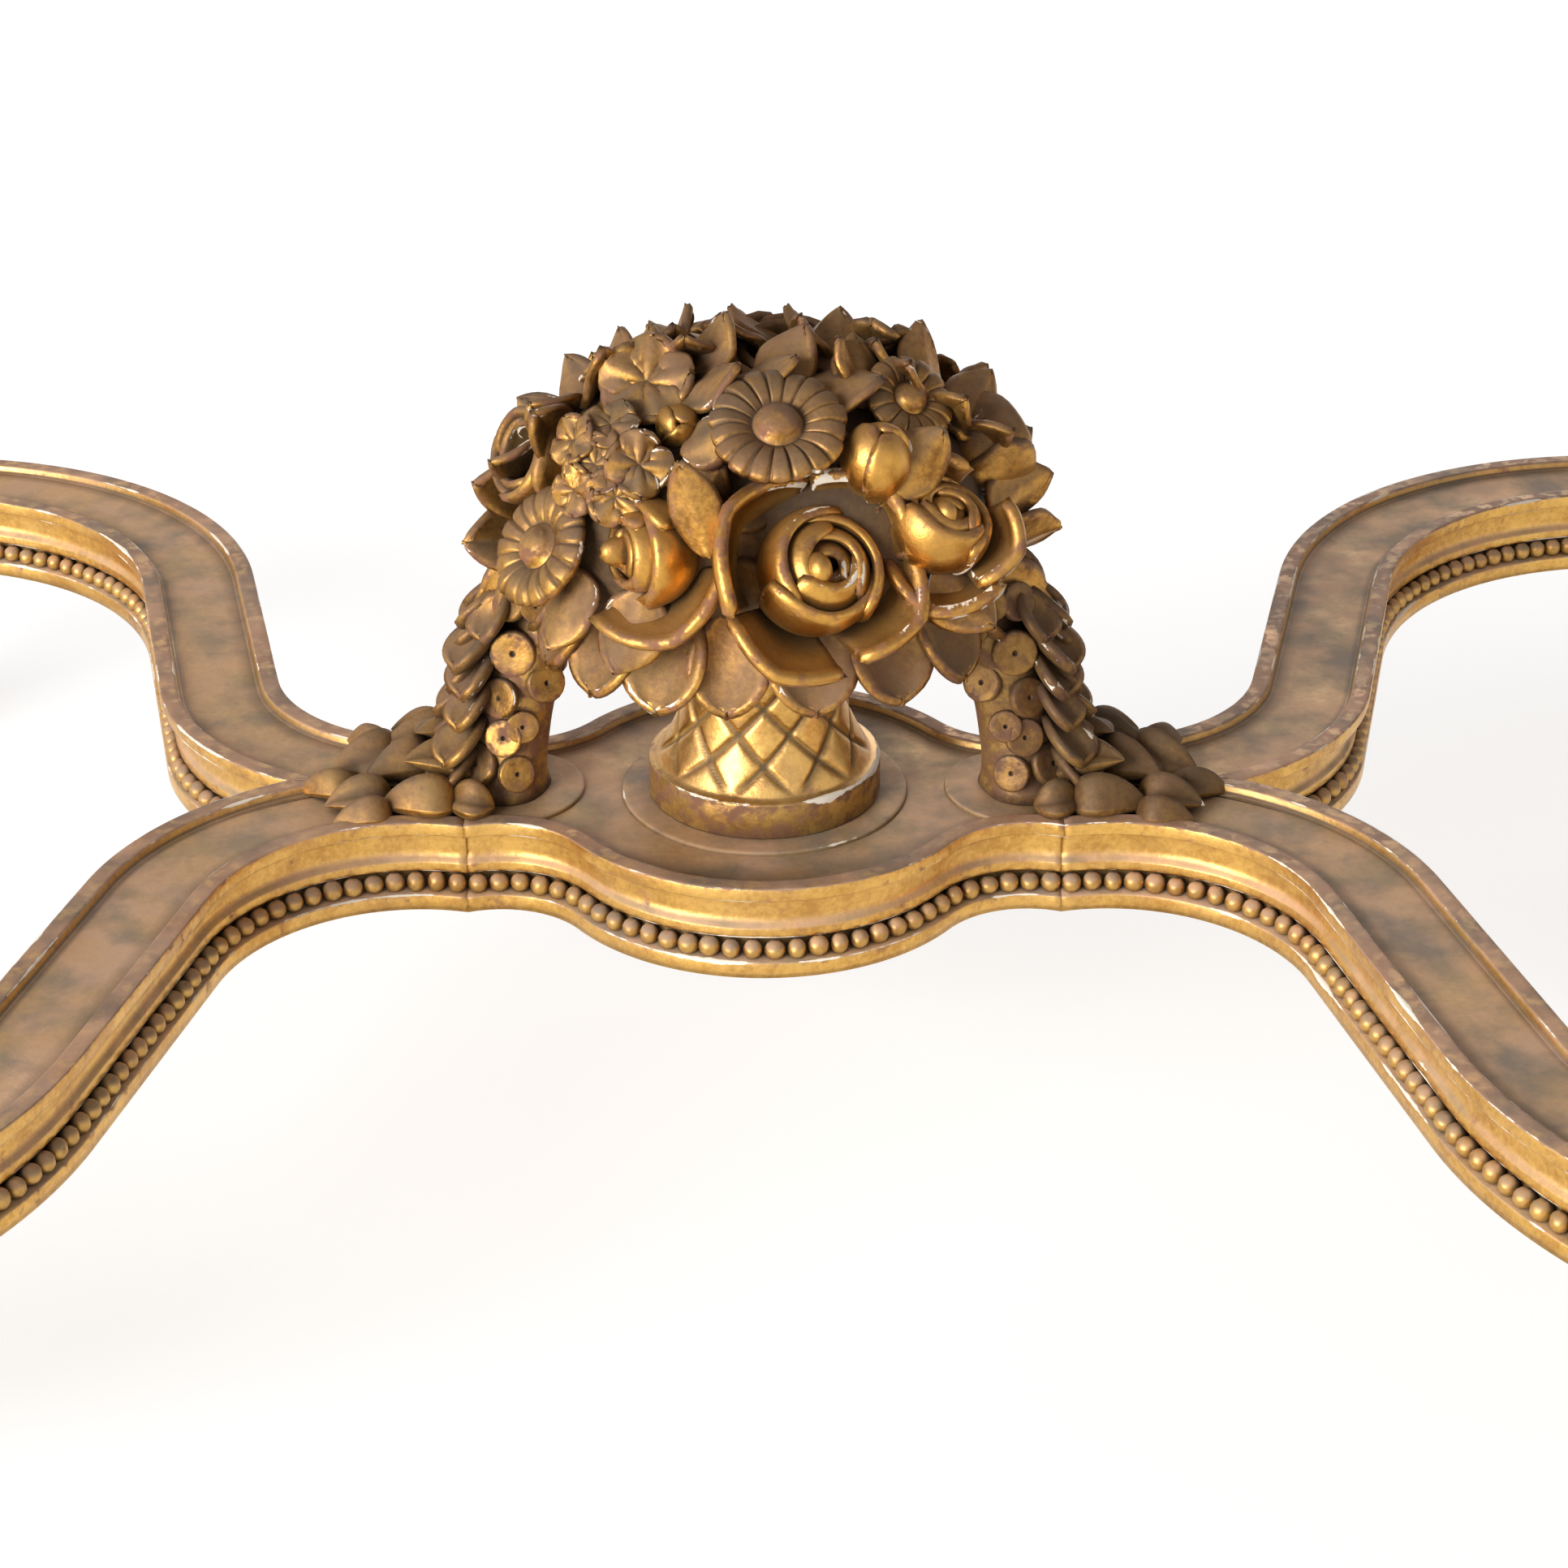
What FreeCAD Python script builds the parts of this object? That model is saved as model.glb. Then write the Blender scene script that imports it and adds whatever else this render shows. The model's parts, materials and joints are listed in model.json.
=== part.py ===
import FreeCAD, Part
import math
import os

# Centre table of carved and gilded wood under a marble top.
# Four fluted legs and an apron carry the top. A curved cross stretcher ties the legs near the
# floor, and a basket of carved flowers stands on the middle of the stretcher.
# Millimetres, +Z up, +X along the length, -Y to the front, origin on the floor under the middle.

V = FreeCAD.Vector

# Frame and legs
FRAME_HEIGHT = 747.0
POST_SIDE = 76.0
POST_DROP = 6.0
POST_PANEL_BORDER = 9.0
POST_PANEL_DEPTH = 3.0
CAPITAL_HEIGHT = 44.0
SHAFT_TOP_RADIUS = 31.0
SHAFT_FOOT_RADIUS = 21.0
FLUTE_COUNT = 12
FLUTE_TOP_RADIUS = 5.0
FLUTE_FOOT_RADIUS = 3.6
FLUTE_END_GAP = 16.0
CAPITAL_INSET = 1.0
CAPITAL_HOLLOW = 4.0
ABACUS_HEIGHT = 9.0
NECK_RING_OUT = 2.0
NECK_RING_HEIGHT = 8.0
COLLAR_HEIGHT = 22.0
COLLAR_INSET = 2.0
COLLAR_RING_OUT = 3.0
RING_SWELL = 2.8
DIE_SIDE = 68.0
DIE_MARGIN = 8.0
FOOT_TIP_RADIUS = 15.0
FOOT_BELLY_RADIUS = 30.0
FOOT_NECK_RADIUS = 20.0
FOOT_BELLY_SWELL = 4.0
FOOT_RING_RADIUS = 27.0
FOOT_RING_HEIGHT = 12.0
FOOT_COVE_HEIGHT = 22.0
FOOT_COVE_HOLLOW = 2.5
ROSETTE_RADIUS = 24.0
ROSETTE_PETALS = 8

# Apron, braces and bearers
APRON_HEIGHT = 107.0
RAIL_THICKNESS = 28.0
RAIL_SETBACK = 6.0
RAIL_TENON_LENGTH = 30.0
RAIL_TENON_THICKNESS = 12.0
RAIL_TENON_SHOULDER = 15.0
RAIL_FOOT_BAND = 8.0
RAIL_BAND_OUT = 3.0
RAIL_LIP = 3.0
RAIL_CHANNEL_SINK = 2.0
RAIL_CROWN_HEIGHT = 18.0
RAIL_CROWN_FILLET = 7.0
RAIL_CROWN_OUT = 5.0
RAIL_CROWN_HOLLOW = 2.0
PEG_RADIUS = 4.0
BRACE_HEIGHT = 30.0
BRACE_WIDTH = 40.0
BRACE_CLEAR = 3.0
SCREW_RADIUS = 2.2
SCREW_HEAD_RADIUS = 4.5
SCREW_HEAD_HEIGHT = 3.0
SCREW_BITE = 16.0
BEARER_X = 180.0
BEARER_WIDTH = 50.0
BEARER_DEPTH = 22.0
BEARER_HOUSING = 10.0

# Marble top
TOP_THICKNESS = 28.0
TOP_OVERHANG = 22.0
TOP_CORNER_RADIUS = 18.0
TOP_NOSE_RADIUS = 9.0
TOP_STEP = 5.0
TOP_STEP_HEIGHT = 9.0

# Stretcher plan: two lobes in the middle, a notch on each side of them, then four S-shaped arms
STRETCHER_TOP = 170.0
STRETCHER_THICKNESS = 42.0
LOBE_RADIUS = 97.0
NOTCH_RADIUS = 42.0
WAIST_HALF = 39.5
WAIST_STEP = 34.4
WAIST_BEND_RADIUS = 80.0
LEG_BEND_RADIUS = 201.0
ARM_HEADING = 76.5
ARM_RUN = 123.5
ARM_WIDTH = 54.0
ARM_STUB = 22.0
ARM_TENON_LENGTH = 26.0
ARM_TENON_WIDTH = 24.0
ARM_TENON_HEIGHT = 22.0
DOWEL_RADIUS = 5.0
DOWEL_LENGTH = 60.0
DOWEL_Y = 20.0
# Degrees that a moulded bend runs on past a joint or a cusp before it is trimmed there
BEND_OVERRUN = 10.0
NOTCH_OVERRUN = 60.0

# Stretcher edge moulding, from the top edge down
RIM_WIDTH = 8.0
PANEL_DEPTH = 4.0
TOP_FILLET = 6.0
FILLET_STEP = 1.2
COVE_HEIGHT = 14.5
COVE_DEPTH = 7.0
COVE_SAG = 2.2
LIP_HEIGHT = 2.5
LIP_OUT = 1.8
CHANNEL_DEPTH = 9.0
LEDGE_DROP = 2.5
BEAD_RADIUS = 4.2
BEAD_PITCH = 9.2
BEAD_GAP = 0.5

# Basket and flowers, with heights above the stretcher's top
VASE_PAD_RADIUS = 62.0
GARLAND_PAD_RADIUS = 35.0
PAD_HEIGHT = 1.5
VASE_BASE_RADIUS = 50.0
VASE_BASE_HEIGHT = 16.5
VASE_NECK_RADIUS = 34.0
VASE_NECK_RISE = 56.0
VASE_TOP_RADIUS = 40.0
VASE_BASE_STEP = 4.0
VASE_NECK_HOLLOW = 4.0
VASE_FLARE_HOLLOW = 1.5
VASE_TOP_RISE = 78.0
SPIGOT_RADIUS = 9.0
SPIGOT_DEPTH = 28.0
CORE_RISE = 122.0
CORE_RADIUS = 62.0
CORE_STRETCH = 30.0
STEM_RADIUS = 5.0
GARLAND_FOOT_INSET = 14.0
GARLAND_FOOT_RADIUS = 17.0
GARLAND_TOP_CLEAR = 3.0
GARLAND_TOP_RISE = 96.0
GARLAND_TOP_RADIUS = 14.0
GARLAND_DOWEL_DEPTH = 24.0
SCALE_RADIUS = 7.5
SCALE_THICKNESS = 3.4
SCALE_TILT = 24.0
SCALE_TIERS = 7
SCALE_COLUMNS = 5
SCALE_SPREAD = 210.0
SKIRT_LENGTH = 34.0
SKIRT_WIDTH = 24.0
SKIRT_AZIMUTHS = (-62, -45, -24, 0, 24, 45, 62)
SKIRT_ELEVATION = -25.0
SKIRT_FLARE = 24.0
SKIRT_LIFT = 0.8
LEAF_LENGTH = 28.0
LEAF_WIDTH = 16.0
PETAL_THICKNESS = 3.5
PETAL_CUP_RADIUS = 46.0
SPRAY_BASE_LENGTH = 48.0
SPRAY_BASE_WIDTH = 44.0
SPRAY_BASE_HEIGHT = 3.0
SPRAY_LEAF_LENGTH = 34.0
SPRAY_LEAF_WIDTH = 20.0
SPRAY_CLEAR = 4.0

# Fits
GLUE_LINE = 0.1
SEAT_GAP = 0.2

# Flower heads on the front half as azimuth, elevation and radius. Each has a twin half a turn on.
ROSES = {"front": (16, 6, 35.0), "left": (-36, 10, 27.0), "right": (60, 14, 26.0)}
DAISIES = {"upper": (7, 51, 25.0), "side": (-67, 3, 22.0), "crown": (73, 46, 18.0)}
TRUMPETS = {"high": (-66, 56, 15.0), "low": (-57, 32, 14.0)}
BUDS = {"near": (42, 36, 10.0), "edge": (-88, 19, 10.0)}
LEAVES = ((-28, 42), (-92, 44), (36, 63), (-26, 70))
HALF_TURNS = (0, 180)
# Leaves of a spray, as shares of its base's length and width, heading and slope in degrees
SPRAY_LEAVES = ((0.0, -0.22, -34, 12), (0.0, 0.22, 34, 12), (0.25, -0.12, -18, 16), (0.25, 0.12, 18, 16),
                (0.5, 0, 0, 10), (0.0, 0, 0, 30))
ROSE_SINK_SHARE = 0.42
DAISY_STEM = 11.0
TRUMPET_STEM = 6.0
BUD_STEM = 4.0
DAISY_PETALS = 16
TRUMPET_PETALS = 5
ROSE_PETALS = 5

# Heights and places that follow from the sizes above
POST_FOOT = FRAME_HEIGHT - APRON_HEIGHT - POST_DROP
CAPITAL_FOOT = POST_FOOT - CAPITAL_HEIGHT
FOOT_TOP = STRETCHER_TOP - STRETCHER_THICKNESS - DIE_MARGIN
DIE_TOP = STRETCHER_TOP + DIE_MARGIN
SHAFT_FOOT = DIE_TOP + COLLAR_HEIGHT
RAIL_FRIEZE = POST_SIDE / 2 - RAIL_SETBACK
RAIL_BACK = RAIL_FRIEZE - RAIL_THICKNESS
RAIL_MIDDLE = RAIL_FRIEZE - RAIL_THICKNESS / 2
LONG_RAIL_PEG_SHIFT = 1.5 * PEG_RADIUS
SHORT_RAIL_PEG_SHIFT = -1.5 * PEG_RADIUS
CHANNEL_HEIGHT = 2 * (BEAD_RADIUS + BEAD_GAP)
CHANNEL_TOP = TOP_FILLET + COVE_HEIGHT + LIP_HEIGHT
BEAD_INSET = CHANNEL_DEPTH - BEAD_RADIUS - GLUE_LINE
BEAD_Z = STRETCHER_TOP - CHANNEL_TOP - CHANNEL_HEIGHT / 2
PANEL_Z = STRETCHER_TOP - PANEL_DEPTH
SEAT_Z = PANEL_Z + PAD_HEIGHT
VASE_TOP_Z = STRETCHER_TOP + VASE_TOP_RISE
CORE_CENTRE = V(0, 0, STRETCHER_TOP + CORE_RISE)

# Plan circles of one quarter of the stretcher, x and y both positive
NOTCH_CENTRE_Y = WAIST_HALF + NOTCH_RADIUS
NOTCH_CENTRE_X = math.sqrt((LOBE_RADIUS + NOTCH_RADIUS) ** 2 - NOTCH_CENTRE_Y ** 2)
WAIST_X = NOTCH_CENTRE_X + WAIST_STEP
WAIST_CENTRE = V(WAIST_X, WAIST_HALF + WAIST_BEND_RADIUS, 0)
WAIST_MID_RADIUS = WAIST_BEND_RADIUS + ARM_WIDTH / 2
LEG_MID_RADIUS = LEG_BEND_RADIUS - ARM_WIDTH / 2
ARM_AXIS = V(math.cos(math.radians(ARM_HEADING)), math.sin(math.radians(ARM_HEADING)), 0)
ARM_SIDE = V(ARM_AXIS.y, -ARM_AXIS.x, 0)
LEG_CENTRE = WAIST_CENTRE + ARM_AXIS * ARM_RUN + ARM_SIDE * (WAIST_MID_RADIUS + LEG_MID_RADIUS)

# The legs stand where the arms end, and the top follows the legs
LEG_X = LEG_CENTRE.x + ARM_STUB + DIE_SIDE / 2
LEG_Y = LEG_CENTRE.y + LEG_MID_RADIUS
TOP_X = LEG_X + POST_SIDE / 2 + TOP_OVERHANG
TOP_Y = LEG_Y + POST_SIDE / 2 + TOP_OVERHANG


def crossing(centre_a, radius_a, centre_b, radius_b):
    """Crossing of two plan circles that lies nearer to the X axis."""
    line = centre_b - centre_a
    along = (radius_a ** 2 - radius_b ** 2 + line.Length ** 2) / (2 * line.Length)
    across = math.sqrt(radius_a ** 2 - along ** 2)
    unit = V(line).normalize()
    foot = centre_a + unit * along
    side = V(-unit.y, unit.x, 0) * across
    return min((foot + side, foot - side), key=lambda point: abs(point.y))


CUSP = crossing(V(NOTCH_CENTRE_X, NOTCH_CENTRE_Y, 0), NOTCH_RADIUS, WAIST_CENTRE, WAIST_BEND_RADIUS)
JOINT_X = CUSP.x
GARLAND_FOOT_X = JOINT_X - GARLAND_FOOT_INSET
GARLAND_TOP_X = CORE_STRETCH + CORE_RADIUS + GARLAND_TOP_CLEAR


def box(low, high):
    """Block between two corners."""
    return Part.makeBox(high[0] - low[0], high[1] - low[1], high[2] - low[2], V(*low))


def centred_box(centre, size):
    """Block of a size about its centre."""
    low = [c - s / 2 for c, s in zip(centre, size)]
    high = [c + s / 2 for c, s in zip(centre, size)]
    return box(low, high)


def rod(start, end, radius):
    """Round rod between two points."""
    return Part.makeCylinder(radius, (end - start).Length, start, end - start)


def side_on(a, b):
    """Upright drawing plane: a along X, b along Z."""
    return V(a, 0, b)


def in_plan(a, b):
    """Level drawing plane."""
    return V(a, b, 0)


def outline(points, plane):
    """Face inside closed points (a, b, sag); sag bows the side that ends at a point to its left."""
    edges = []
    for (a0, b0, _), (a1, b1, sag) in zip(points[-1:] + points[:-1], points):
        start = plane(a0, b0)
        end = plane(a1, b1)
        if sag == 0:
            edges.append(Part.LineSegment(start, end).toShape())
            continue
        length = math.hypot(a1 - a0, b1 - b0)
        middle = plane((a0 + a1) / 2 - sag * (b1 - b0) / length, (b0 + b1) / 2 + sag * (a1 - a0) / length)
        edges.append(Part.Arc(start, middle, end).toShape())
    return Part.Face(Part.Wire(edges))


def turned(points):
    """Solid turned about Z from a half outline."""
    return outline(points, side_on).revolve(V(0, 0, 0), V(0, 0, 1), 360)


def placed(shape, origin, up, along=None):
    """Copy of a shape with its origin moved, its Z turned to up and its X leaning to along."""
    if along is None:
        turn = FreeCAD.Rotation(V(0, 0, 1), up)
    else:
        z_axis = V(up).normalize()
        y_axis = z_axis.cross(along).normalize()
        turn = FreeCAD.Rotation(y_axis.cross(z_axis), y_axis, z_axis)
    copy = shape.copy()
    copy.Placement = FreeCAD.Placement(origin, turn)
    return copy


def turned_about_z(shape, angle):
    """Copy turned about the table's upright axis."""
    copy = shape.copy()
    copy.rotate(V(0, 0, 0), V(0, 0, 1), angle)
    return copy


def mirrored(shape, x_side, y_side):
    """Copy for another quarter of the table, from the one with x and y positive."""
    copy = shape
    if x_side < 0:
        copy = copy.mirror(V(0, 0, 0), V(1, 0, 0))
    if y_side < 0:
        copy = copy.mirror(V(0, 0, 0), V(0, 1, 0))
    return copy


QUARTERS = {"front_left": (-1, -1), "front_right": (1, -1), "rear_left": (-1, 1), "rear_right": (1, 1)}


# Legs

def leg_foot():
    """Turned top-shaped foot under the lower block."""
    belly = FOOT_TOP - FOOT_RING_HEIGHT - FOOT_COVE_HEIGHT
    ring = FOOT_TOP - FOOT_RING_HEIGHT
    points = [(0, 0, 0), (FOOT_TIP_RADIUS, 0, 0), (FOOT_BELLY_RADIUS, belly, -FOOT_BELLY_SWELL),
              (FOOT_NECK_RADIUS, belly + FOOT_COVE_HEIGHT / 2, -RING_SWELL),
              (FOOT_RING_RADIUS, ring, FOOT_COVE_HOLLOW), (FOOT_RING_RADIUS, FOOT_TOP, -RING_SWELL),
              (0, FOOT_TOP, 0)]
    return turned(points)


def leg_shaft():
    """Turned collar, fluted taper and capital between the two square blocks."""
    collar = DIE_SIDE / 2 - COLLAR_INSET
    collar_top = DIE_TOP + COLLAR_HEIGHT / 2
    collar_ring = SHAFT_FOOT_RADIUS + COLLAR_RING_OUT
    neck_ring = SHAFT_TOP_RADIUS + NECK_RING_OUT
    neck = CAPITAL_FOOT + NECK_RING_HEIGHT
    crown = POST_SIDE / 2 - CAPITAL_INSET
    points = [(0, DIE_TOP, 0), (collar, DIE_TOP, 0), (collar, collar_top, -RING_SWELL),
              (collar_ring, collar_top, 0), (collar_ring, SHAFT_FOOT, -RING_SWELL),
              (SHAFT_FOOT_RADIUS, SHAFT_FOOT, 0), (SHAFT_TOP_RADIUS, CAPITAL_FOOT, 0),
              (neck_ring, CAPITAL_FOOT, 0), (neck_ring, neck, -RING_SWELL),
              (SHAFT_TOP_RADIUS - NECK_RING_OUT, neck, 0), (crown, POST_FOOT - ABACUS_HEIGHT, CAPITAL_HOLLOW),
              (crown, POST_FOOT, 0), (0, POST_FOOT, 0)]
    shaft = turned(points)
    low = V(SHAFT_FOOT_RADIUS, 0, SHAFT_FOOT)
    high = V(SHAFT_TOP_RADIUS, 0, CAPITAL_FOOT)
    slope = (high - low).normalize()
    start = low + slope * FLUTE_END_GAP
    end = high - slope * FLUTE_END_GAP
    flute = Part.makeCone(FLUTE_FOOT_RADIUS, FLUTE_TOP_RADIUS, (end - start).Length, start, slope)
    flute = flute.fuse([Part.makeSphere(FLUTE_FOOT_RADIUS, start), Part.makeSphere(FLUTE_TOP_RADIUS, end)])
    flutes = [turned_about_z(flute, 360 * i / FLUTE_COUNT) for i in range(FLUTE_COUNT)]
    return shaft.cut(flutes)


def rail_tenon_box(grow):
    """Tenon of a rail along X, at the rail's end at x = 0, reaching to positive x."""
    height = APRON_HEIGHT - 2 * RAIL_TENON_SHOULDER + 2 * grow
    middle = FRAME_HEIGHT - APRON_HEIGHT / 2
    size = (RAIL_TENON_LENGTH + grow, RAIL_TENON_THICKNESS + 2 * grow, height)
    return centred_box((size[0] / 2, RAIL_MIDDLE, middle), size)


def arm_tenon_box(grow):
    """Tenon of a stretcher arm along X, at the arm's end at x = 0, reaching to positive x."""
    size = (ARM_TENON_LENGTH + grow, ARM_TENON_WIDTH + 2 * grow, ARM_TENON_HEIGHT + 2 * grow)
    return centred_box((size[0] / 2, 0, STRETCHER_TOP - STRETCHER_THICKNESS / 2), size)


def rail_peg_places(shift):
    """Places of the two pegs through a rail tenon, as distance from the leg's axis and height."""
    reach = APRON_HEIGHT / 2 - RAIL_TENON_SHOULDER
    middle = FRAME_HEIGHT - APRON_HEIGHT / 2 + shift
    inset = -POST_SIDE / 2 + RAIL_TENON_LENGTH / 2
    return [(inset, middle - reach / 2), (inset, middle + reach / 2)]


def rail_pegs(grow):
    """Pegs from the post's inner side through both rail tenons, about the leg's own axis."""
    pegs = []
    end = RAIL_MIDDLE + RAIL_TENON_THICKNESS
    for inset, height in rail_peg_places(LONG_RAIL_PEG_SHIFT):
        pegs.append(rod(V(inset, -POST_SIDE / 2, height), V(inset, end + grow, height), PEG_RADIUS + grow))
    for inset, height in rail_peg_places(SHORT_RAIL_PEG_SHIFT):
        pegs.append(rod(V(-POST_SIDE / 2, inset, height), V(end + grow, inset, height), PEG_RADIUS + grow))
    return pegs


def arm_peg(grow):
    """Peg through the lower block and the arm's tenon, from the block's inner side."""
    inset = -DIE_SIDE / 2 + ARM_TENON_LENGTH / 2
    height = STRETCHER_TOP - STRETCHER_THICKNESS / 2
    return rod(V(inset, -DIE_SIDE / 2, height), V(inset, ARM_TENON_WIDTH + grow, height), PEG_RADIUS + grow)


def leg():
    """One leg with its mortises and peg holes, in the quarter with x and y positive."""
    post = box((-POST_SIDE / 2, -POST_SIDE / 2, POST_FOOT), (POST_SIDE / 2, POST_SIDE / 2, FRAME_HEIGHT))
    die = box((-DIE_SIDE / 2, -DIE_SIDE / 2, FOOT_TOP), (DIE_SIDE / 2, DIE_SIDE / 2, DIE_TOP))
    body = leg_foot().fuse([die, leg_shaft(), post])
    rail_mortise = rail_tenon_box(GLUE_LINE).translated(V(-POST_SIDE / 2, 0, 0))
    side_mortise = rail_mortise.mirror(V(0, 0, 0), V(1, -1, 0))
    arm_mortise = arm_tenon_box(GLUE_LINE).translated(V(-DIE_SIDE / 2, 0, 0))
    cuts = [rail_mortise, side_mortise, arm_mortise, arm_peg(GLUE_LINE)] + rail_pegs(GLUE_LINE)
    cuts += post_panels()
    return body.cut(cuts).translated(V(LEG_X, LEG_Y, 0))


def post_panels():
    """Sunk square panels on the post's two outer faces."""
    side = POST_SIDE - 2 * POST_PANEL_BORDER
    middle = (POST_FOOT + FRAME_HEIGHT) / 2
    place = POST_SIDE / 2 - POST_PANEL_DEPTH / 2
    panel = centred_box((place, 0, middle), (POST_PANEL_DEPTH, side, side))
    return [panel, panel.mirror(V(0, 0, 0), V(1, -1, 0))]


def leg_rosettes():
    """Carved rosettes in the posts' sunk panels."""
    middle = (POST_FOOT + FRAME_HEIGHT) / 2
    floor = POST_SIDE / 2 - POST_PANEL_DEPTH + GLUE_LINE
    rosette = daisy(ROSETTE_RADIUS, ROSETTE_PETALS, 0)
    pair = [placed(rosette, V(LEG_X + floor, LEG_Y, middle), V(1, 0, 0)),
            placed(rosette, V(LEG_X, LEG_Y + floor, middle), V(0, 1, 0))]
    return [mirrored(one, *side) for side in QUARTERS.values() for one in pair]


# Apron

def rail_section():
    """Apron rail section: bead channel at the foot, flat frieze, coved crown at the top."""
    foot = FRAME_HEIGHT - APRON_HEIGHT
    channel = foot + RAIL_FOOT_BAND
    lip = channel + CHANNEL_HEIGHT
    crown = FRAME_HEIGHT - RAIL_CROWN_HEIGHT
    fillet = FRAME_HEIGHT - RAIL_CROWN_FILLET
    out = RAIL_FRIEZE + RAIL_BAND_OUT
    sink = RAIL_FRIEZE - RAIL_CHANNEL_SINK
    points = [(RAIL_BACK, foot, 0), (out, foot, 0), (out, channel, 0), (sink, channel, 0), (sink, lip, 0),
              (out, lip, 0), (out, lip + RAIL_LIP, 0), (RAIL_FRIEZE, lip + RAIL_LIP, 0),
              (RAIL_FRIEZE, crown, 0), (RAIL_FRIEZE + RAIL_CROWN_OUT, fillet, RAIL_CROWN_HOLLOW),
              (RAIL_FRIEZE + RAIL_CROWN_OUT, FRAME_HEIGHT, 0), (RAIL_BACK, FRAME_HEIGHT, 0)]
    return outline(points, lambda a, b: V(0, a, b))


def rail(length, leg_offset, peg_shift):
    """Apron rail along X with a tenon at each end, on the side with y positive."""
    body = rail_section().extrude(V(length, 0, 0)).translated(V(-length / 2, 0, 0))
    tenon = rail_tenon_box(0).translated(V(length / 2, 0, 0))
    body = body.fuse([tenon, tenon.mirror(V(0, 0, 0), V(1, 0, 0))])
    holes = []
    for inset, height in rail_peg_places(peg_shift):
        hole_x = length / 2 + POST_SIDE / 2 + inset
        for x in (-hole_x, hole_x):
            start = V(x, RAIL_MIDDLE - RAIL_TENON_THICKNESS, height)
            end = V(x, RAIL_MIDDLE + RAIL_TENON_THICKNESS, height)
            holes.append(rod(start, end, PEG_RADIUS + GLUE_LINE))
    for x in (-1, 1):
        start = V(x * (length / 2 + POST_SIDE / 2 - brace_screw_place()), RAIL_BACK, brace_middle())
        holes.append(rod(start, start + V(0, SCREW_BITE + GLUE_LINE, 0), SCREW_RADIUS + GLUE_LINE))
    return body.cut(holes).translated(V(0, leg_offset, 0))


def long_rail():
    """Front or rear rail, with housings for the bearers, on the side with y positive."""
    body = rail(2 * LEG_X - POST_SIDE, LEG_Y, LONG_RAIL_PEG_SHIFT)
    return body.cut([bearer(side, GLUE_LINE) for side in (-1, 1)])


def short_rail():
    """Side rail, turned to the side with x positive."""
    body = rail(2 * LEG_Y - POST_SIDE, LEG_X, SHORT_RAIL_PEG_SHIFT)
    return turned_about_z(body, -90)


def bearer(side, grow):
    """Cross bearer under the marble, housed in the long rails."""
    reach = LEG_Y + RAIL_BACK + BEARER_HOUSING + grow
    half = BEARER_WIDTH / 2 + grow
    centre = side * BEARER_X
    low = FRAME_HEIGHT - BEARER_DEPTH - grow
    return box((centre - half, -reach, low), (centre + half, reach, FRAME_HEIGHT))


def brace_near():
    """Distance from the leg's axis to the brace's near corner on a rail, clear of the post."""
    return POST_SIDE + BRACE_CLEAR + RAIL_BACK


def brace_screw_place():
    """Distance from the leg's axis to the brace's screws, along a rail."""
    return brace_near() + BRACE_WIDTH / 2


def brace_middle():
    """Height of the braces' middle, half way up the apron."""
    return FRAME_HEIGHT - APRON_HEIGHT / 2


def brace_screw_line():
    """Start of a brace screw's head and its end in the rail along X, about the leg's own axis."""
    place = -brace_screw_place()
    face = RAIL_BACK - BRACE_WIDTH / 2
    head = V(place, face, brace_middle())
    return head, V(place, RAIL_BACK + SCREW_BITE, brace_middle())


def brace_screw(grow):
    """Countersunk screw through a brace into a rail, about the leg's own axis."""
    head, end = brace_screw_line()
    shank = rod(head, end, SCREW_RADIUS + grow)
    cone = Part.makeCone(SCREW_HEAD_RADIUS + grow, SCREW_RADIUS + grow, SCREW_HEAD_HEIGHT, head, end - head)
    return shank.fuse(cone)


def corner_brace():
    """Diagonal brace between two rails beside a post, in the quarter with x and y positive."""
    near = -brace_near()
    far = near - BRACE_WIDTH
    face = RAIL_BACK - SEAT_GAP
    points = [(near, face, 0), (far, face, 0), (face, far, 0), (face, near, 0)]
    body = outline(points, in_plan).extrude(V(0, 0, BRACE_HEIGHT))
    body = body.translated(V(0, 0, brace_middle() - BRACE_HEIGHT / 2))
    head, end = brace_screw_line()
    hole = rod(head, end, SCREW_RADIUS + GLUE_LINE).fuse(brace_screw(GLUE_LINE))
    sweep = rod(head - V(0, BRACE_WIDTH, 0), head, SCREW_HEAD_RADIUS + GLUE_LINE)
    cuts = [hole, sweep]
    cuts += [cut.mirror(V(0, 0, 0), V(1, -1, 0)) for cut in cuts]
    return body.cut(cuts).translated(V(LEG_X, LEG_Y, 0))


def brace_screws():
    """Both screws of one brace."""
    screw = brace_screw(0)
    pair = [screw, screw.mirror(V(0, 0, 0), V(1, -1, 0))]
    return [one.translated(V(LEG_X, LEG_Y, 0)) for one in pair]


def apron_beads():
    """Bead rows along the foot of all four rails."""
    out = RAIL_FRIEZE - RAIL_CHANNEL_SINK + BEAD_RADIUS + GLUE_LINE
    height = FRAME_HEIGHT - APRON_HEIGHT + RAIL_FOOT_BAND + CHANNEL_HEIGHT / 2
    beads = []
    for run, offset, turns in ((LEG_X, LEG_Y, (0, 180)), (LEG_Y, LEG_X, (90, 270))):
        half = run - POST_SIDE / 2 - BEAD_RADIUS - BEAD_GAP
        count = int(2 * half / BEAD_PITCH) + 1
        for i in range(count):
            place = V(-half + 2 * half * i / (count - 1), offset + out, height)
            for turn in turns:
                beads.append(turned_about_z(Part.makeSphere(BEAD_RADIUS, place), turn))
    return beads


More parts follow.
